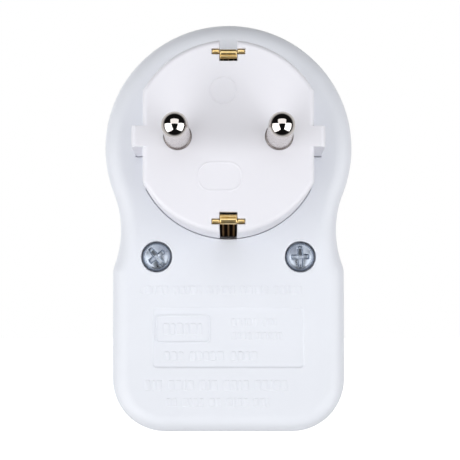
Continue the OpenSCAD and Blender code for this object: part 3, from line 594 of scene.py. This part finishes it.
def polished_metal(name, shade, dark, roughness, line, depth, stretch):
    """Metal with fine polishing lines: stretch makes the lines long along one or two axes."""
    finish, tree = start_finish(name)
    place = add(tree, "TexCoord", {}, {}).outputs["Object"]
    drawn = add(tree, "Mapping", {}, {"Vector": place, "Scale": stretch})
    lines = add(tree, "TexNoise", {}, {"Vector": drawn.outputs[0], "Scale": 1 / (line * MM), "Detail": 4})
    cloud = add(tree, "TexNoise", {}, {"Vector": place, "Scale": 1 / (3 * MM), "Detail": 3})
    tint = add(tree, "Mix", {"data_type": "RGBA"}, {
        "Factor": cloud.outputs["Fac"], 6: linear(dark), 7: linear(shade)})
    gloss = add(tree, "MapRange", {}, {
        "Value": lines.outputs["Fac"], "To Min": roughness * 0.7, "To Max": roughness * 1.4})
    bump = add(tree, "Bump", {}, {"Height": lines.outputs["Fac"], "Strength": 0.2, "Distance": depth * MM})
    shader = add(tree, "BsdfPrincipled", {}, {
        "Base Color": tint.outputs[2], "Metallic": 1.0, "Roughness": gloss.outputs[0],
        "Normal": bump.outputs[0]})
    add(tree, "OutputMaterial", {}, {"Surface": shader.outputs[0]})
    return finish


# Bright nickel is a little warm. The shank keeps turning lines, drawn 0.25 mm apart, and a slight haze, which
# end where the polished tip begins.
nickel, tree = start_finish("nickel_plate_polished")
place = add(tree, "TexCoord", {}, {}).outputs["Object"]
drawn = add(tree, "Mapping", {}, {"Vector": place, "Scale": (0.08, 1, 0.08)})
lines = add(tree, "TexNoise", {}, {"Vector": drawn.outputs[0], "Scale": 1 / (0.25 * MM), "Detail": 2})
cloud = add(tree, "TexNoise", {}, {"Vector": place, "Scale": 1 / (0.8 * MM), "Detail": 4})
split = add(tree, "SeparateXYZ", {}, {"Vector": place})
shank = add(tree, "MapRange", {"interpolation_type": "SMOOTHSTEP"}, {
    "Value": split.outputs["Y"], "From Min": 16.9 * MM, "From Max": 16.3 * MM})
haze = add(tree, "Math", {"operation": "MULTIPLY"}, {0: cloud.outputs["Fac"], 1: shank.outputs[0]})
tint = add(tree, "Mix", {"data_type": "RGBA"}, {
    "Factor": haze.outputs[0], 6: linear("#d6d0cc"), 7: linear("#cbc3c0")})
gloss = add(tree, "MapRange", {}, {"Value": haze.outputs[0], "To Min": 0.05, "To Max": 0.4})
bump = add(tree, "Bump", {}, {
    "Height": lines.outputs["Fac"], "Strength": shank.outputs[0], "Distance": 0.004 * MM})
shader = add(tree, "BsdfPrincipled", {}, {
    "Base Color": tint.outputs[2], "Metallic": 1.0, "Roughness": gloss.outputs[0], "Normal": bump.outputs[0]})
add(tree, "OutputMaterial", {}, {"Surface": shader.outputs[0]})
pin_tip = line_high.y
pin_tail = line_low.y
tip_turns = [math.pi / 2 * k / 16 for k in range(16)]
pin_profile = [(1.7, pin_tail), (1.9, pin_tail + 0.2), (1.9, -3.5), (3.4, -3.5), (3.6, -3.3), (3.6, -2.25),
               (3.4, -2.05), (2.6, -2.05), (2.6, -0.13), (2.58, -0.1), (2.42, -0.01), (pin_r, 0.03),
               (pin_r, 9)]
pin_profile += [(pin_r * math.cos(a), pin_tip - pin_r + pin_r * math.sin(a)) for a in tip_turns]
pin_profile += [(0.02, pin_tip)]
for name, side in (("line_pin", 1), ("neutral_pin", -1)):
    bm = bmesh.new()
    turned(bm, pin_profile, side * pin_x, 0)
    make(bm, name + "_turned", nickel, "meter", name, slot="nickel_plate")


# ---- Earth contacts of the plug ----
# Sprung brass strip, bent over the face at the top and bottom of the boss and hooked into a slit there. It
# slopes outward down the side channel, stiffened by two pressed ribs, and two ears hold it in the face.
def smooth(points, steps):
    """Curve through points, with steps on each stretch."""
    points = [Vector(p) for p in points]
    ends = [2 * points[0] - points[1]] + points + [2 * points[-1] - points[-2]]
    curve = []
    for a, b, c, d in zip(ends, ends[1:], ends[2:], ends[3:]):
        for k in range(steps):
            t = k / steps
            curve.append(0.5 * (2 * b + (c - a) * t + (2 * a - 5 * b + 4 * c - d) * t * t
                                + (3 * b - a - 3 * c + d) * t ** 3))
    return curve + [points[-1]]


def leaf(bm, path, width, thick, flip, rib=0, rib_span=(0, 0)):
    """Strip that follows a path of (y, z) on its outer face, thickening to the right of the path."""
    edge = 0.12
    rib_half = 0.2
    across = [-width / 2, -width / 2 + edge * 0.3, -width / 2 + edge]
    inner = [-width / 2 + edge + (width - 2 * edge) * k / 20 for k in range(1, 20)]
    across = across + inner + [-u for u in reversed(across)]
    rings = []
    for i, here in enumerate(path):
        ahead = (path[min(i + 1, len(path) - 1)] - path[max(i - 1, 0)]).normalized()
        normal = Vector((-ahead.y, ahead.x))
        share = 0
        if rib_span[0] > here.x > rib_span[1]:
            share = min(1, (rib_span[0] - here.x) / 1.2, (here.x - rib_span[1]) / 1.2)
        ring = []
        for u in across:
            drop = max(0, edge - (width / 2 - abs(u))) ** 2 / edge
            crest = max(math.exp(-((abs(u) - width * 0.31) / rib_half) ** 2), math.exp(-(u / rib_half) ** 2))
            lift = rib * share * crest
            p = here + normal * (lift - drop)
            ring.append(Vector((u, p.x, flip * p.y)))
        for u in reversed(across):
            p = here - normal * thick
            ring.append(Vector((u * 0.98, p.x, flip * p.y)))
        rings.append(ring)
    foot, top = skin(bm, rings)
    flat(bm, foot)
    flat(bm, top)


# Rolled brass is warm and bright, with fine lines along the strip, drawn 0.2 mm apart.
brass = polished_metal("brass_rolled", "#e6c77c", "#cfa653", 0.2, 0.2, 0.004, (1, 0.06, 1))
# Down the side it is a duller brown with darker reflections; painted shade fills the valleys between the
# three ribs.
rib_pitch = 1
browned_with_painted_shade, tree = start_finish("brass_strip_tarnished")
place = add(tree, "TexCoord", {}, {}).outputs["Object"]
split = add(tree, "SeparateXYZ", {}, {"Vector": place})
turns = add(tree, "Math", {"operation": "MULTIPLY"}, {0: split.outputs["X"], 1: math.tau / (rib_pitch * MM)})
ribbing = add(tree, "Math", {"operation": "COSINE"}, {0: turns.outputs[0]})
# Painted shade: down the side, the valleys between the ribs are painted near black, and only the rib crests
# stay bright.
valley = add(tree, "MapRange", {}, {"Value": ribbing.outputs[0], "From Min": 0.95, "From Max": 0.1})
below = add(tree, "MapRange", {"interpolation_type": "SMOOTHSTEP"}, {
    "Value": split.outputs["Y"], "From Min": -0.7 * MM, "From Max": -1.3 * MM})
painted_valley_shade = add(tree, "Math", {"operation": "MULTIPLY"}, {0: valley.outputs[0], 1: below.outputs[0]})
cloud = add(tree, "TexNoise", {}, {"Vector": place, "Scale": 1 / (0.7 * MM), "Detail": 3})
metal = add(tree, "Mix", {"data_type": "RGBA"}, {
    "Factor": cloud.outputs["Fac"], 6: linear("#ffedbe"), 7: linear("#e8be66")})
side_brown = add(tree, "Mix", {"data_type": "RGBA"}, {
    "Factor": below.outputs[0], 6: metal.outputs[2], 7: linear("#b29c7d")})
# The painted shade in the rib valleys is mixed in here as a near-black colour.
tint = add(tree, "Mix", {"data_type": "RGBA"}, {
    "Factor": painted_valley_shade.outputs[0], 6: side_brown.outputs[2], 7: linear("#140c07")})
edge_tint = add(tree, "Mix", {"data_type": "RGBA"}, {
    "Factor": below.outputs[0], 6: linear("#ffffff"), 7: linear("#6b5d4e")})
gloss = add(tree, "MapRange", {}, {"Value": painted_valley_shade.outputs[0], "To Min": 0.3, "To Max": 0.6})
bump = add(tree, "Bump", {}, {"Height": cloud.outputs["Fac"], "Strength": 0.5, "Distance": 0.03 * MM})
shader = add(tree, "BsdfPrincipled", {}, {
    "Base Color": tint.outputs[2], "Metallic": 1.0, "Roughness": gloss.outputs[0], "Normal": bump.outputs[0],
    "Specular Tint": edge_tint.outputs[2]})
add(tree, "OutputMaterial", {}, {"Surface": shader.outputs[0]})
contact_low, _ = reach("upper_earth_contact")
strip_end_y = contact_low.y
strip_w = 3.2
strip_t = 0.55
rib_rise = 0.2
rib_span = (-1.2, -15)
hooked = smooth([(-3.5, 14.62), (-1.2, 14.62), (-0.55, 14.7), (-0.3, 14.9), (-0.26, 15.12), (-0.34, 15.24),
                 (-0.16, 15.4), (-0.08, 15.75), (-0.22, 16.15), (-0.65, 16.42), (-3, 16.62), (-9, 17.12),
                 (-15.6, 17.66), (-17.5, 17.7), (strip_end_y, 17.7)], 5)
for name, flip in (("upper_earth_contact", 1), ("lower_earth_contact", -1)):
    bm = bmesh.new()
    leaf(bm, list(reversed(hooked)), strip_w, strip_t, flip, rib_rise, rib_span)
    for side in (-1, 1):
        tab = round_rect(1.35, 0.72, 0.14, side * 2.36, flip * 15.96, 3)
        low, top = skin(bm, [at(tab, -1.2), at(tab, -0.34), at(grow(tab, -0.05), -0.24),
                             at(grow(tab, -0.13), -0.2)])
        flat(bm, low)
        flat(bm, top)
    make(bm, name + "_bent", browned_with_painted_shade, "meter", name, slot="sprung_brass")


# ---- Case screws ----
# Two pan-head thread-forming screws in zinc-plated steel, sunk in their counterbores. Their heads take a
# cross driver or a flat blade, and each has stopped at its own angle.
def screw_head(bm, x, z, foot_y, r, rise, arm, turn):
    """Pan head with a cross recess: a fine round grid whose height falls away in the recess."""
    steps, grid = 96, 22
    crown_drop, edge_r = 0.42, 0.62
    top_y = foot_y + rise
    rings = [[(r * 0.96, foot_y)] * steps, [(r, foot_y + 0.12)] * steps]
    sweep = [math.pi / 2 * k / 8 for k in range(1, 9)]
    crown = [(r - edge_r + edge_r * math.cos(a), top_y - crown_drop - edge_r + edge_r * math.sin(a))
             for a in sweep]
    rings += [[(s, y)] * steps for s, y in crown]
    inner = crown[-1][0]
    for k in range(1, grid + 1):
        s = inner * (1 - k / grid) + 0.03 * k / grid
        ring = []
        for i in range(steps):
            a = math.radians(360 * i / steps - turn)
            u, v = abs(s * math.cos(a)), abs(s * math.sin(a))
            y = top_y - crown_drop * (s / inner) ** 2
            depth = 0
            for across, length, width, deep in ((v, u, 0.42, 1.1), (u, v, 0.34, 1.1), (v, u, 0.3, 0.45)):
                long_end = arm if deep > 1 else arm * 1.3
                slope = deep * (1 - 0.55 * min(1, length / arm)) if deep > 1 else deep
                side_share = min(1, max(0, (width + 0.12 - across) / 0.16))
                end_share = min(1, max(0, (long_end - length) / 0.2))
                depth = max(depth, slope * side_share * end_share)
            ring.append((s, y - depth))
        rings.append(ring)
    turns = [math.tau * i / steps for i in range(steps)]
    solid = [[Vector((x + s * math.cos(a), y, z + s * math.sin(a))) for a, (s, y) in zip(turns, ring)]
             for ring in rings]
    foot, top = skin(bm, solid)
    flat(bm, foot)
    flat(bm, top)


def screw_shank(bm, x, z, foot_y, end_y, r, pitch):
    """Shank with a thread: rings that swell and shrink along a helix."""
    steps = int((foot_y - end_y) / pitch * 6)
    rings = []
    for k in range(steps + 1):
        y = foot_y + (end_y - foot_y) * k / steps
        taper = min(1, 0.45 + (y - end_y) / 1.5)
        ring = []
        for i in range(18):
            a = math.tau * i / 18
            crest = 0.5 + 0.5 * math.cos(math.tau * (y / pitch) + a)
            s = r * taper * (0.78 + 0.2 * crest ** 3)
            ring.append(Vector((x + s * math.cos(a), y, z + s * math.sin(a))))
        rings.append(ring)
    foot, top = skin(bm, rings)
    flat(bm, foot)
    flat(bm, top)


# Blue-passivated zinc over steel is cool grey, a little cloudy, and duller than nickel.
zinc = polished_metal("zinc_plate_passivated", "#bfc6d1", "#98a2b0", 0.28, 0.5, 0.012, (1, 1, 1))
screw_low, _ = reach("case_screws")
screw_head_r, screw_rise, cross_arm = 2.8, 1.9, 1.75
thread_r, thread_pitch = 1.45, 1.1
bm = bmesh.new()
for side, turn in ((1, 52), (-1, 88)):
    screw_head(bm, side * screw_x, -screw_drop, sink_y + 0.02, screw_head_r, screw_rise, cross_arm, turn)
    screw_shank(bm, side * screw_x, -screw_drop, sink_y, screw_low.y, thread_r, thread_pitch)
make(bm, "case_screws_driven", zinc, "meter", "case_screws", slot="zinc_plate", sharp=55)

# ---- Socket cup ----
# The well that takes the appliance's plug, moulded in the same white PBT as the boss, with a flat and a
# keyway on each side, two pin holes in its floor and a slot for each earth clip.
_, cup_high = reach("socket_cup")
cup_floor_y = front_y + 17.5
cup_rear_y = cup_floor_y + 2
recess_r, recess_half, recess_key = 19.3, 16.7, 2.625
recess = round_with_flats(recess_r, recess_half, recess_key)
chamber_r = 19.6
cup_hole_r = 2.9
slot_near, slot_far, slot_half = 17.8, 19, 1.9
bm = bmesh.new()
chamber, skirt_foot = skin(bm, [at(circle(0, 0, chamber_r, 120), y) for y in (cup_rear_y, cup_high.y)])
skirt = [at(circle(0, 0, cup_r, 120), cup_high.y)]
skirt += [at(circle(0, 0, cup_r - s, 120), y) for s, y in reversed(round_over(0.4, 0, front_y, 1, 4))]
skirt_outer, rim = skin(bm, skirt)
well = [at(grow(recess, s), y) for s, y in round_over(0.5, 0, front_y, 1, 5)]
well += [at(grow(recess, -0.02), cup_floor_y - 0.4), at(grow(recess, -0.15), cup_floor_y - 0.08),
         at(grow(recess, -0.4), cup_floor_y)]
mouth, floor_edge = skin(bm, well)
through_holes = []
for side in (-1, 1):
    rings = [at(circle(side * pin_x, 0, cup_hole_r + s, 48), y)
             for s, y in round_over(0.4, 0, cup_floor_y, 1, 4)]
    through_holes.append(skin(bm, rings + [at(circle(side * pin_x, 0, cup_hole_r, 48), cup_rear_y)]))
    cut = round_rect(2 * slot_half, slot_far - slot_near - 0.15, 0.2,
                     0, side * (slot_near + slot_far - 0.15) / 2, 3)
    through_holes.append(skin(bm, [at(cut, cup_floor_y), at(cut, cup_rear_y)]))
flat(bm, rim, mouth)
flat(bm, floor_edge, *[pair[0] for pair in through_holes])
flat(bm, chamber, *[pair[1] for pair in through_holes])
flat(bm, skirt_outer, skirt_foot)
make(bm, "socket_well", white_pbt, "meter", "socket_cup", slot="insert_pbt")

# ---- Earth clips and earth path ----
# Sprung brass again: a clip at the top and bottom of the well that presses on the appliance plug's contacts,
# and a flat bridge behind the well that joins the clips to the contacts of the plug.
_, clip_high = reach("upper_earth_clip")
clip_y = clip_high.y
clip_w, clip_t = 3.6, 0.5
clip_path = smooth([(clip_y, 14.9), (clip_y, 17), (clip_y - 0.15, 18.4), (clip_y - 0.8, 18.85),
                    (-26, 18.9), (-31.2, 18.85), (-34, 18.25), (-38, 17.05), (-41, 16.55), (-42.6, 16.6),
                    (-44.4, 17.35), (-45.9, 18.2)], 6)
for name, flip in (("upper_earth_clip", 1), ("lower_earth_clip", -1)):
    bm = bmesh.new()
    leaf(bm, list(reversed(clip_path)), clip_w, clip_t, flip)
    make(bm, name + "_sprung", brass, "meter", name, slot="sprung_brass")


def dress(node, finish, edge=0.08):
    """Gives a CAD node its finish, a fine bevel and even shading, and leaves its points where they are."""
    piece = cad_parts[node]
    piece.data.materials.clear()
    piece.data.materials.append(finish)
    for polygon in piece.data.polygons:
        polygon.use_smooth = True
        polygon.material_index = 0
    weld = piece.modifiers.new("weld", "WELD")
    weld.merge_threshold = 0.000001
    bevel = piece.modifiers.new("fine_bevel", "BEVEL")
    bevel.width = edge * MM
    bevel.segments = 2
    bevel.limit_method = "ANGLE"
    bevel.angle_limit = math.radians(32)
    bevel.use_clamp_overlap = True
    piece.modifiers.new("even_shading", "WEIGHTED_NORMAL").keep_sharp = True


for node in ("earth_bridge", "line_contact", "neutral_contact"):
    dress(node, brass)

# ---- Shutter and its spring ----
# A grey polyamide slide behind the well's floor closes both pin holes. The plug's pins push it down on its
# ramps against a small coil spring of steel wire, which closes up as the slide comes down.
# Polyamide is dull and slightly mottled.
grey_polyamide = moulded("grey_polyamide_moulded", "#b9bdc2", "#adb1b7", 0.5, 1.53, 0.6, 0.02)
dress("shutter", grey_polyamide, 0.15)
spring_low, spring_high = reach("shutter_spring")
spring_x = (spring_low.x + spring_high.x) / 2
spring_y = (spring_low.y + spring_high.y) / 2
wire_r = 0.2
coil_r = 1.3
coils = 6
bottom, top = spring_low.z + wire_r, spring_high.z - wire_r
spring_path = []
for k in range(coils * 24 + 1):
    t = k / (coils * 24)
    # The end coils lie flat, as they are ground on the real spring
    height = bottom + (top - bottom) * (t - math.sin(math.tau * t) / math.tau * 0.55)
    a = math.tau * coils * t
    spring_path.append(Vector((spring_x + coil_r * math.cos(a), spring_y + coil_r * math.sin(a), height)))
bm = bmesh.new()
rings = []
for k, here in enumerate(spring_path):
    ahead = (spring_path[min(k + 1, len(spring_path) - 1)] - spring_path[max(k - 1, 0)]).normalized()
    out = Vector((here.x - spring_x, here.y - spring_y, 0)).normalized()
    up = ahead.cross(out).normalized()
    rings.append([here + wire_r * (math.cos(math.tau * i / 10) * out + math.sin(math.tau * i / 10) * up)
                  for i in range(10)])
foot, tip = skin(bm, rings)
flat(bm, foot)
flat(bm, tip)
steel = polished_metal("spring_steel_drawn", "#b4b7bb", "#9a9da2", 0.25, 0.3, 0.004, (1, 1, 1))
shutter_spring = make(bm, "shutter_spring_coiled", steel, "meter", "shutter_spring", slot="zinc_plate")
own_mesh(shutter_spring)

# ---- Contact carrier ----
# A darker polyamide plate closes the shutter in behind the well and holds the two sprung tubes that grip the
# appliance's pins. Two small zinc-plated screws hold it.
dark_polyamide = moulded("dark_polyamide_moulded", "#7d838a", "#737980", 0.48, 1.53, 0.6, 0.02)
dress("contact_carrier", dark_polyamide)
dress("carrier_screws", zinc, 0.05)

# ---- Main board ----
# A green board of glass cloth and epoxy with a lacquer that shows the cloth under it, and two screws. The
# cloth's threads are 0.33 mm apart, as in a fine cloth.
board_green, tree = start_finish("glass_epoxy_board_lacquered")
place = add(tree, "TexCoord", {}, {}).outputs["Object"]
# A wave texture of scale 1 repeats every math.tau / 20
thread_scale = math.tau / 20 / (0.329 * MM)
warp = add(tree, "TexWave", {"bands_direction": "X"}, {"Vector": place, "Scale": thread_scale})
weft = add(tree, "TexWave", {"bands_direction": "Z"}, {"Vector": place, "Scale": thread_scale})
cloth = add(tree, "Math", {"operation": "MULTIPLY"}, {0: warp.outputs["Fac"], 1: weft.outputs["Fac"]})
tint = add(tree, "Mix", {"data_type": "RGBA"}, {
    "Factor": cloth.outputs[0], 6: linear("#1f5a36"), 7: linear("#2c7044")})
bump = add(tree, "Bump", {}, {"Height": cloth.outputs[0], "Strength": 0.3, "Distance": 0.01 * MM})
shader = add(tree, "BsdfPrincipled", {}, {
    "Base Color": tint.outputs[2], "Roughness": 0.32, "IOR": 1.55, "Normal": bump.outputs[0]})
add(tree, "OutputMaterial", {}, {"Surface": shader.outputs[0]})
dress("main_board", board_green, 0.06)
dress("board_screws", zinc, 0.05)

# ---- Parts on the board ----
# What measures and feeds the meter, soldered to the back of the board: capacitors, varistor, resistor,
# rectifier, shunt, two chips, a crystal and a backup cell in its clip. Each has its own moulding or metal.
black_epoxy = moulded("black_epoxy_moulded", "#232427", "#1c1d1f", 0.55, 1.55, 0.25, 0.02)
parts = [
    ("mains_capacitor",
     moulded("yellow_polyester_case_moulded", "#d9b640", "#d0ab34", 0.4, 1.57, 0.4, 0.02), 0.25),
    ("reservoir_capacitor",
     moulded("blue_pvc_sleeve_shrunk", "#28345a", "#232e50", 0.3, 1.53, 0.8, 0.02), 0.3),
    ("varistor", moulded("blue_epoxy_coat_dipped", "#2d62ab", "#27589d", 0.28, 1.55, 1.2, 0.05), 0.6),
    ("fusible_resistor",
     moulded("green_silicone_coat_fired", "#4e7d5b", "#456f51", 0.6, 1.5, 0.5, 0.04), 0.3),
    ("rectifier", black_epoxy, 0.1),
    ("metering_chip", black_epoxy, 0.08),
    ("controller_chip", black_epoxy, 0.08),
    ("switch_bodies", black_epoxy, 0.15),
    ("measuring_shunt",
     polished_metal("manganin_sheet_rolled", "#c58a66", "#ad7452", 0.3, 0.3, 0.006, (1, 1, 0.1)), 0.1),
    ("crystal", polished_metal("tinned_can_drawn", "#c2c5c9", "#adb1b6", 0.22, 0.5, 0.004, (1, 0.1, 1)), 0.3),
    ("backup_cell",
     polished_metal("stainless_can_pressed", "#c9ccd0", "#b8bbc0", 0.2, 0.4, 0.003, (1, 0.3, 1)), 0.25),
    ("cell_clip", steel, 0.06),
]
for node, finish, edge in parts:
    dress(node, finish, edge)

# ---- Internal leads ----
# Four stranded leads in PVC, brown for line and blue for neutral, from the pins to the board and from the
# board to the sprung tubes. Extruded PVC is smooth and a little glossy.
brown_pvc = moulded("brown_pvc_extruded", "#5f3d26", "#563621", 0.35, 1.53, 1.5, 0.01)
blue_pvc = moulded("blue_pvc_extruded", "#2f63b4", "#2859a6", 0.35, 1.53, 1.5, 0.01)
for pole, finish in (("line", brown_pvc), ("neutral", blue_pvc)):
    for way in ("in", "out"):
        dress(f"{pole}_{way}_lead", finish, 0.02)

# ---- Display ----
# A reflective liquid-crystal cell in a white frame, joined to the board by two striped rubber strips. Its
# grey-green field shows seven-segment figures, and the unlit segments show as faint shadows.
rubber, tree = start_finish("silicone_rubber_striped")
place = add(tree, "TexCoord", {}, {}).outputs["Object"]
stripe_scale = math.tau / 20 / (0.2632 * MM)
stripes = add(tree, "TexWave", {"bands_direction": "X"}, {"Vector": place, "Scale": stripe_scale})
tint = add(tree, "Mix", {"data_type": "RGBA"}, {
    "Factor": stripes.outputs["Fac"], 6: linear("#1f2124"), 7: linear("#c9c5bb")})
shader = add(tree, "BsdfPrincipled", {}, {"Base Color": tint.outputs[2], "Roughness": 0.7, "IOR": 1.41})
add(tree, "OutputMaterial", {}, {"Surface": shader.outputs[0]})
for node in ("upper_connector_strip", "lower_connector_strip"):
    dress(node, rubber, 0.1)
dress("display_frame", white_abs, 0.1)

glass_low, _ = reach("display_glass")
cell_field, tree = start_finish("liquid_crystal_field_laminated")
place = add(tree, "TexCoord", {}, {}).outputs["Object"]
speck = add(tree, "TexNoise", {}, {"Vector": place, "Scale": 1 / (0.15 * MM), "Detail": 2})
tint = add(tree, "Mix", {"data_type": "RGBA"}, {
    "Factor": speck.outputs["Fac"], 6: linear("#9fac98"), 7: linear("#b0bba6")})
shader = add(tree, "BsdfPrincipled", {}, {
    "Base Color": tint.outputs[2], "Roughness": 0.25, "IOR": 1.52,
    "Coat Weight": 0.6, "Coat Roughness": 0.05})
add(tree, "OutputMaterial", {}, {"Surface": shader.outputs[0]})
dress("display_glass", cell_field, 0.15)

dark_segment = moulded("display_segment_dark", "#23302a", "#1d2823", 0.3, 1.5, 0.5, 0.001)
faint_segment = moulded("display_segment_faint", "#98a591", "#95a28e", 0.3, 1.5, 0.5, 0.001)
# Segments in the order top, upper right, lower right, bottom, lower left, upper left, middle
FIGURES = {"0": "abcdef", "1": "bc", "2": "abged", "3": "abgcd", "4": "fgbc", "5": "afgcd"}


def segment(bm, x1, z1, x2, z2, thick, centre, lean):
    """One segment with pointed ends between two corners of a figure."""
    a, b = Vector((x1, z1)), Vector((x2, z2))
    ahead = (b - a).normalized()
    a, b = a + ahead * thick * 0.12, b - ahead * thick * 0.12
    side = Vector((-ahead.y, ahead.x)) * thick / 2
    shape = [a, a + ahead * thick / 2 + side, b - ahead * thick / 2 + side, b,
             b - ahead * thick / 2 - side, a + ahead * thick / 2 - side]
    rings = []
    for y in (glass_low.y + 0.02, glass_low.y - 0.03):
        rings.append([Vector((centre.x + p.x + lean * p.y, y, centre.y + p.y)) for p in shape])
    foot, top = skin(bm, rings)
    flat(bm, foot)
    flat(bm, top)


def figure(bm_dark, bm_faint, mark, x, z, w, h, thick):
    """Seven-segment figure, seen from the user's side."""
    places = {"a": (-w, h, w, h), "b": (w, 0, w, h), "c": (w, -h, w, 0), "d": (-w, -h, w, -h),
              "e": (-w, -h, -w, 0), "f": (-w, 0, -w, h), "g": (-w, 0, w, 0)}
    for key, (x1, z1, x2, z2) in places.items():
        bm = bm_dark if key in FIGURES.get(mark, "") else bm_faint
        segment(bm, x1, z1, x2, z2, thick, Vector((x, z)), 0.1)


lit, unlit = bmesh.new(), bmesh.new()
readings = [
    # figures, first x, pitch, height over the window's middle, half width, half height, thickness
    (" 2304", -11.3, 4.6, -1.1, 1.35, 2.6, 0.62),
    ("0500", -1.6, 2.1, 4.1, 0.55, 0.95, 0.28),
    ("12", 11.6, 2.4, -2.6, 0.65, 1.15, 0.32),
]
for marks, first_x, pitch, lift, half_w, half_h, thick in readings:
    for place, mark in enumerate(marks):
        figure(lit, unlit, mark, first_x + pitch * place, display_z + lift, half_w, half_h, thick)
points = [(4.95, -3.75, 0.32), (1.65, 3.1, 0.16)]
for x, z, r in points:
    dot = circle(x, display_z + z, r, 16)
    foot, top = skin(lit, [at(dot, glass_low.y + 0.02), at(dot, glass_low.y - 0.03)])
    flat(lit, foot)
    flat(lit, top)
make(lit, "display_figures", dark_segment, "meter", slot="display_glass")
make(unlit, "display_shadows", faint_segment, "meter", slot="display_glass")

# ---- Display window ----
# A clear acrylic pane with polished edges, snapped flush into its seat. It is perfectly smooth, with a few
# fine rub marks from wiping, drawn 1.5 mm long.
clear_acrylic, tree = start_finish("clear_acrylic_polished")
place = add(tree, "TexCoord", {}, {}).outputs["Object"]
rubs = add(tree, "TexNoise", {}, {"Vector": place, "Scale": 1 / (1.5 * MM), "Detail": 5})
haze = add(tree, "MapRange", {}, {"Value": rubs.outputs["Fac"], "From Min": 0.45, "From Max": 0.8,
                                 "To Min": 0.01, "To Max": 0.06})
shader = add(tree, "BsdfPrincipled", {}, {
    "Base Color": linear("#fbfdfc"), "Roughness": haze.outputs[0], "IOR": 1.49, "Transmission Weight": 1.0})
add(tree, "OutputMaterial", {}, {"Surface": shader.outputs[0]})
pane = round_rect(window_w, window_h, 0.9, 0, display_z)
bm = bmesh.new()
rings = [at(grow(pane, -s), y) for s, y in round_over(0.15, 0, window_low.y, 1, 3)]
rings += [at(grow(pane, -s), y) for s, y in reversed(round_over(0.15, 0, window_high.y, -1, 3))]
front, rear = skin(bm, rings)
flat(bm, front)
flat(bm, rear)
window_pane = make(bm, "display_pane", clear_acrylic, "meter", "display_window", slot="window_pane")
window_pane.visible_shadow = False

# ---- Buttons ----
# Four grey caps moulded in soft-touch ABS, each with a shallow hollow for the fingertip and a flange that
# keeps it in the case. Under each, a black plunger carries the press to a switch on the board.
cap_flange = 0.6
cap_hollow = 0.24
soft_grey = moulded("grey_abs_soft_touch", "#727880", "#6a7078", 0.5, 1.52, 0.25, 0.02)
for i, (low, high) in enumerate(button_boxes, 1):
    x = button_xs[i - 1]
    cap = stadium(button_w, button_h, x, button_z)
    flange = stadium(button_w + 2 * cap_flange, button_h + 2 * cap_flange, x, button_z)
    rings = [at(flange, high.y), at(flange, inner_front_y + 0.05), at(cap, inner_front_y + 0.05)]
    rings += [at(grow(cap, -s), y) for s, y in reversed(round_over(0.35, 0, low.y, 1, 5))]
    for s in (0.5, 0.7, 0.95, 1.25, 1.6, 1.9):
        hollow = cap_hollow * (1 - ((button_h / 2 - s) / (button_h / 2 - 0.4)) ** 2)
        rings.append(at(grow(cap, -s), low.y + hollow))
    bm = bmesh.new()
    foot, top = skin(bm, rings)
    flat(bm, foot)
    flat(bm, top)
    make(bm, f"button_cap_{i}", soft_grey, f"button_{i}", f"button_{i}", slot="button_plastic")
    dress(f"plunger_{i}", black_epoxy, 0.15)
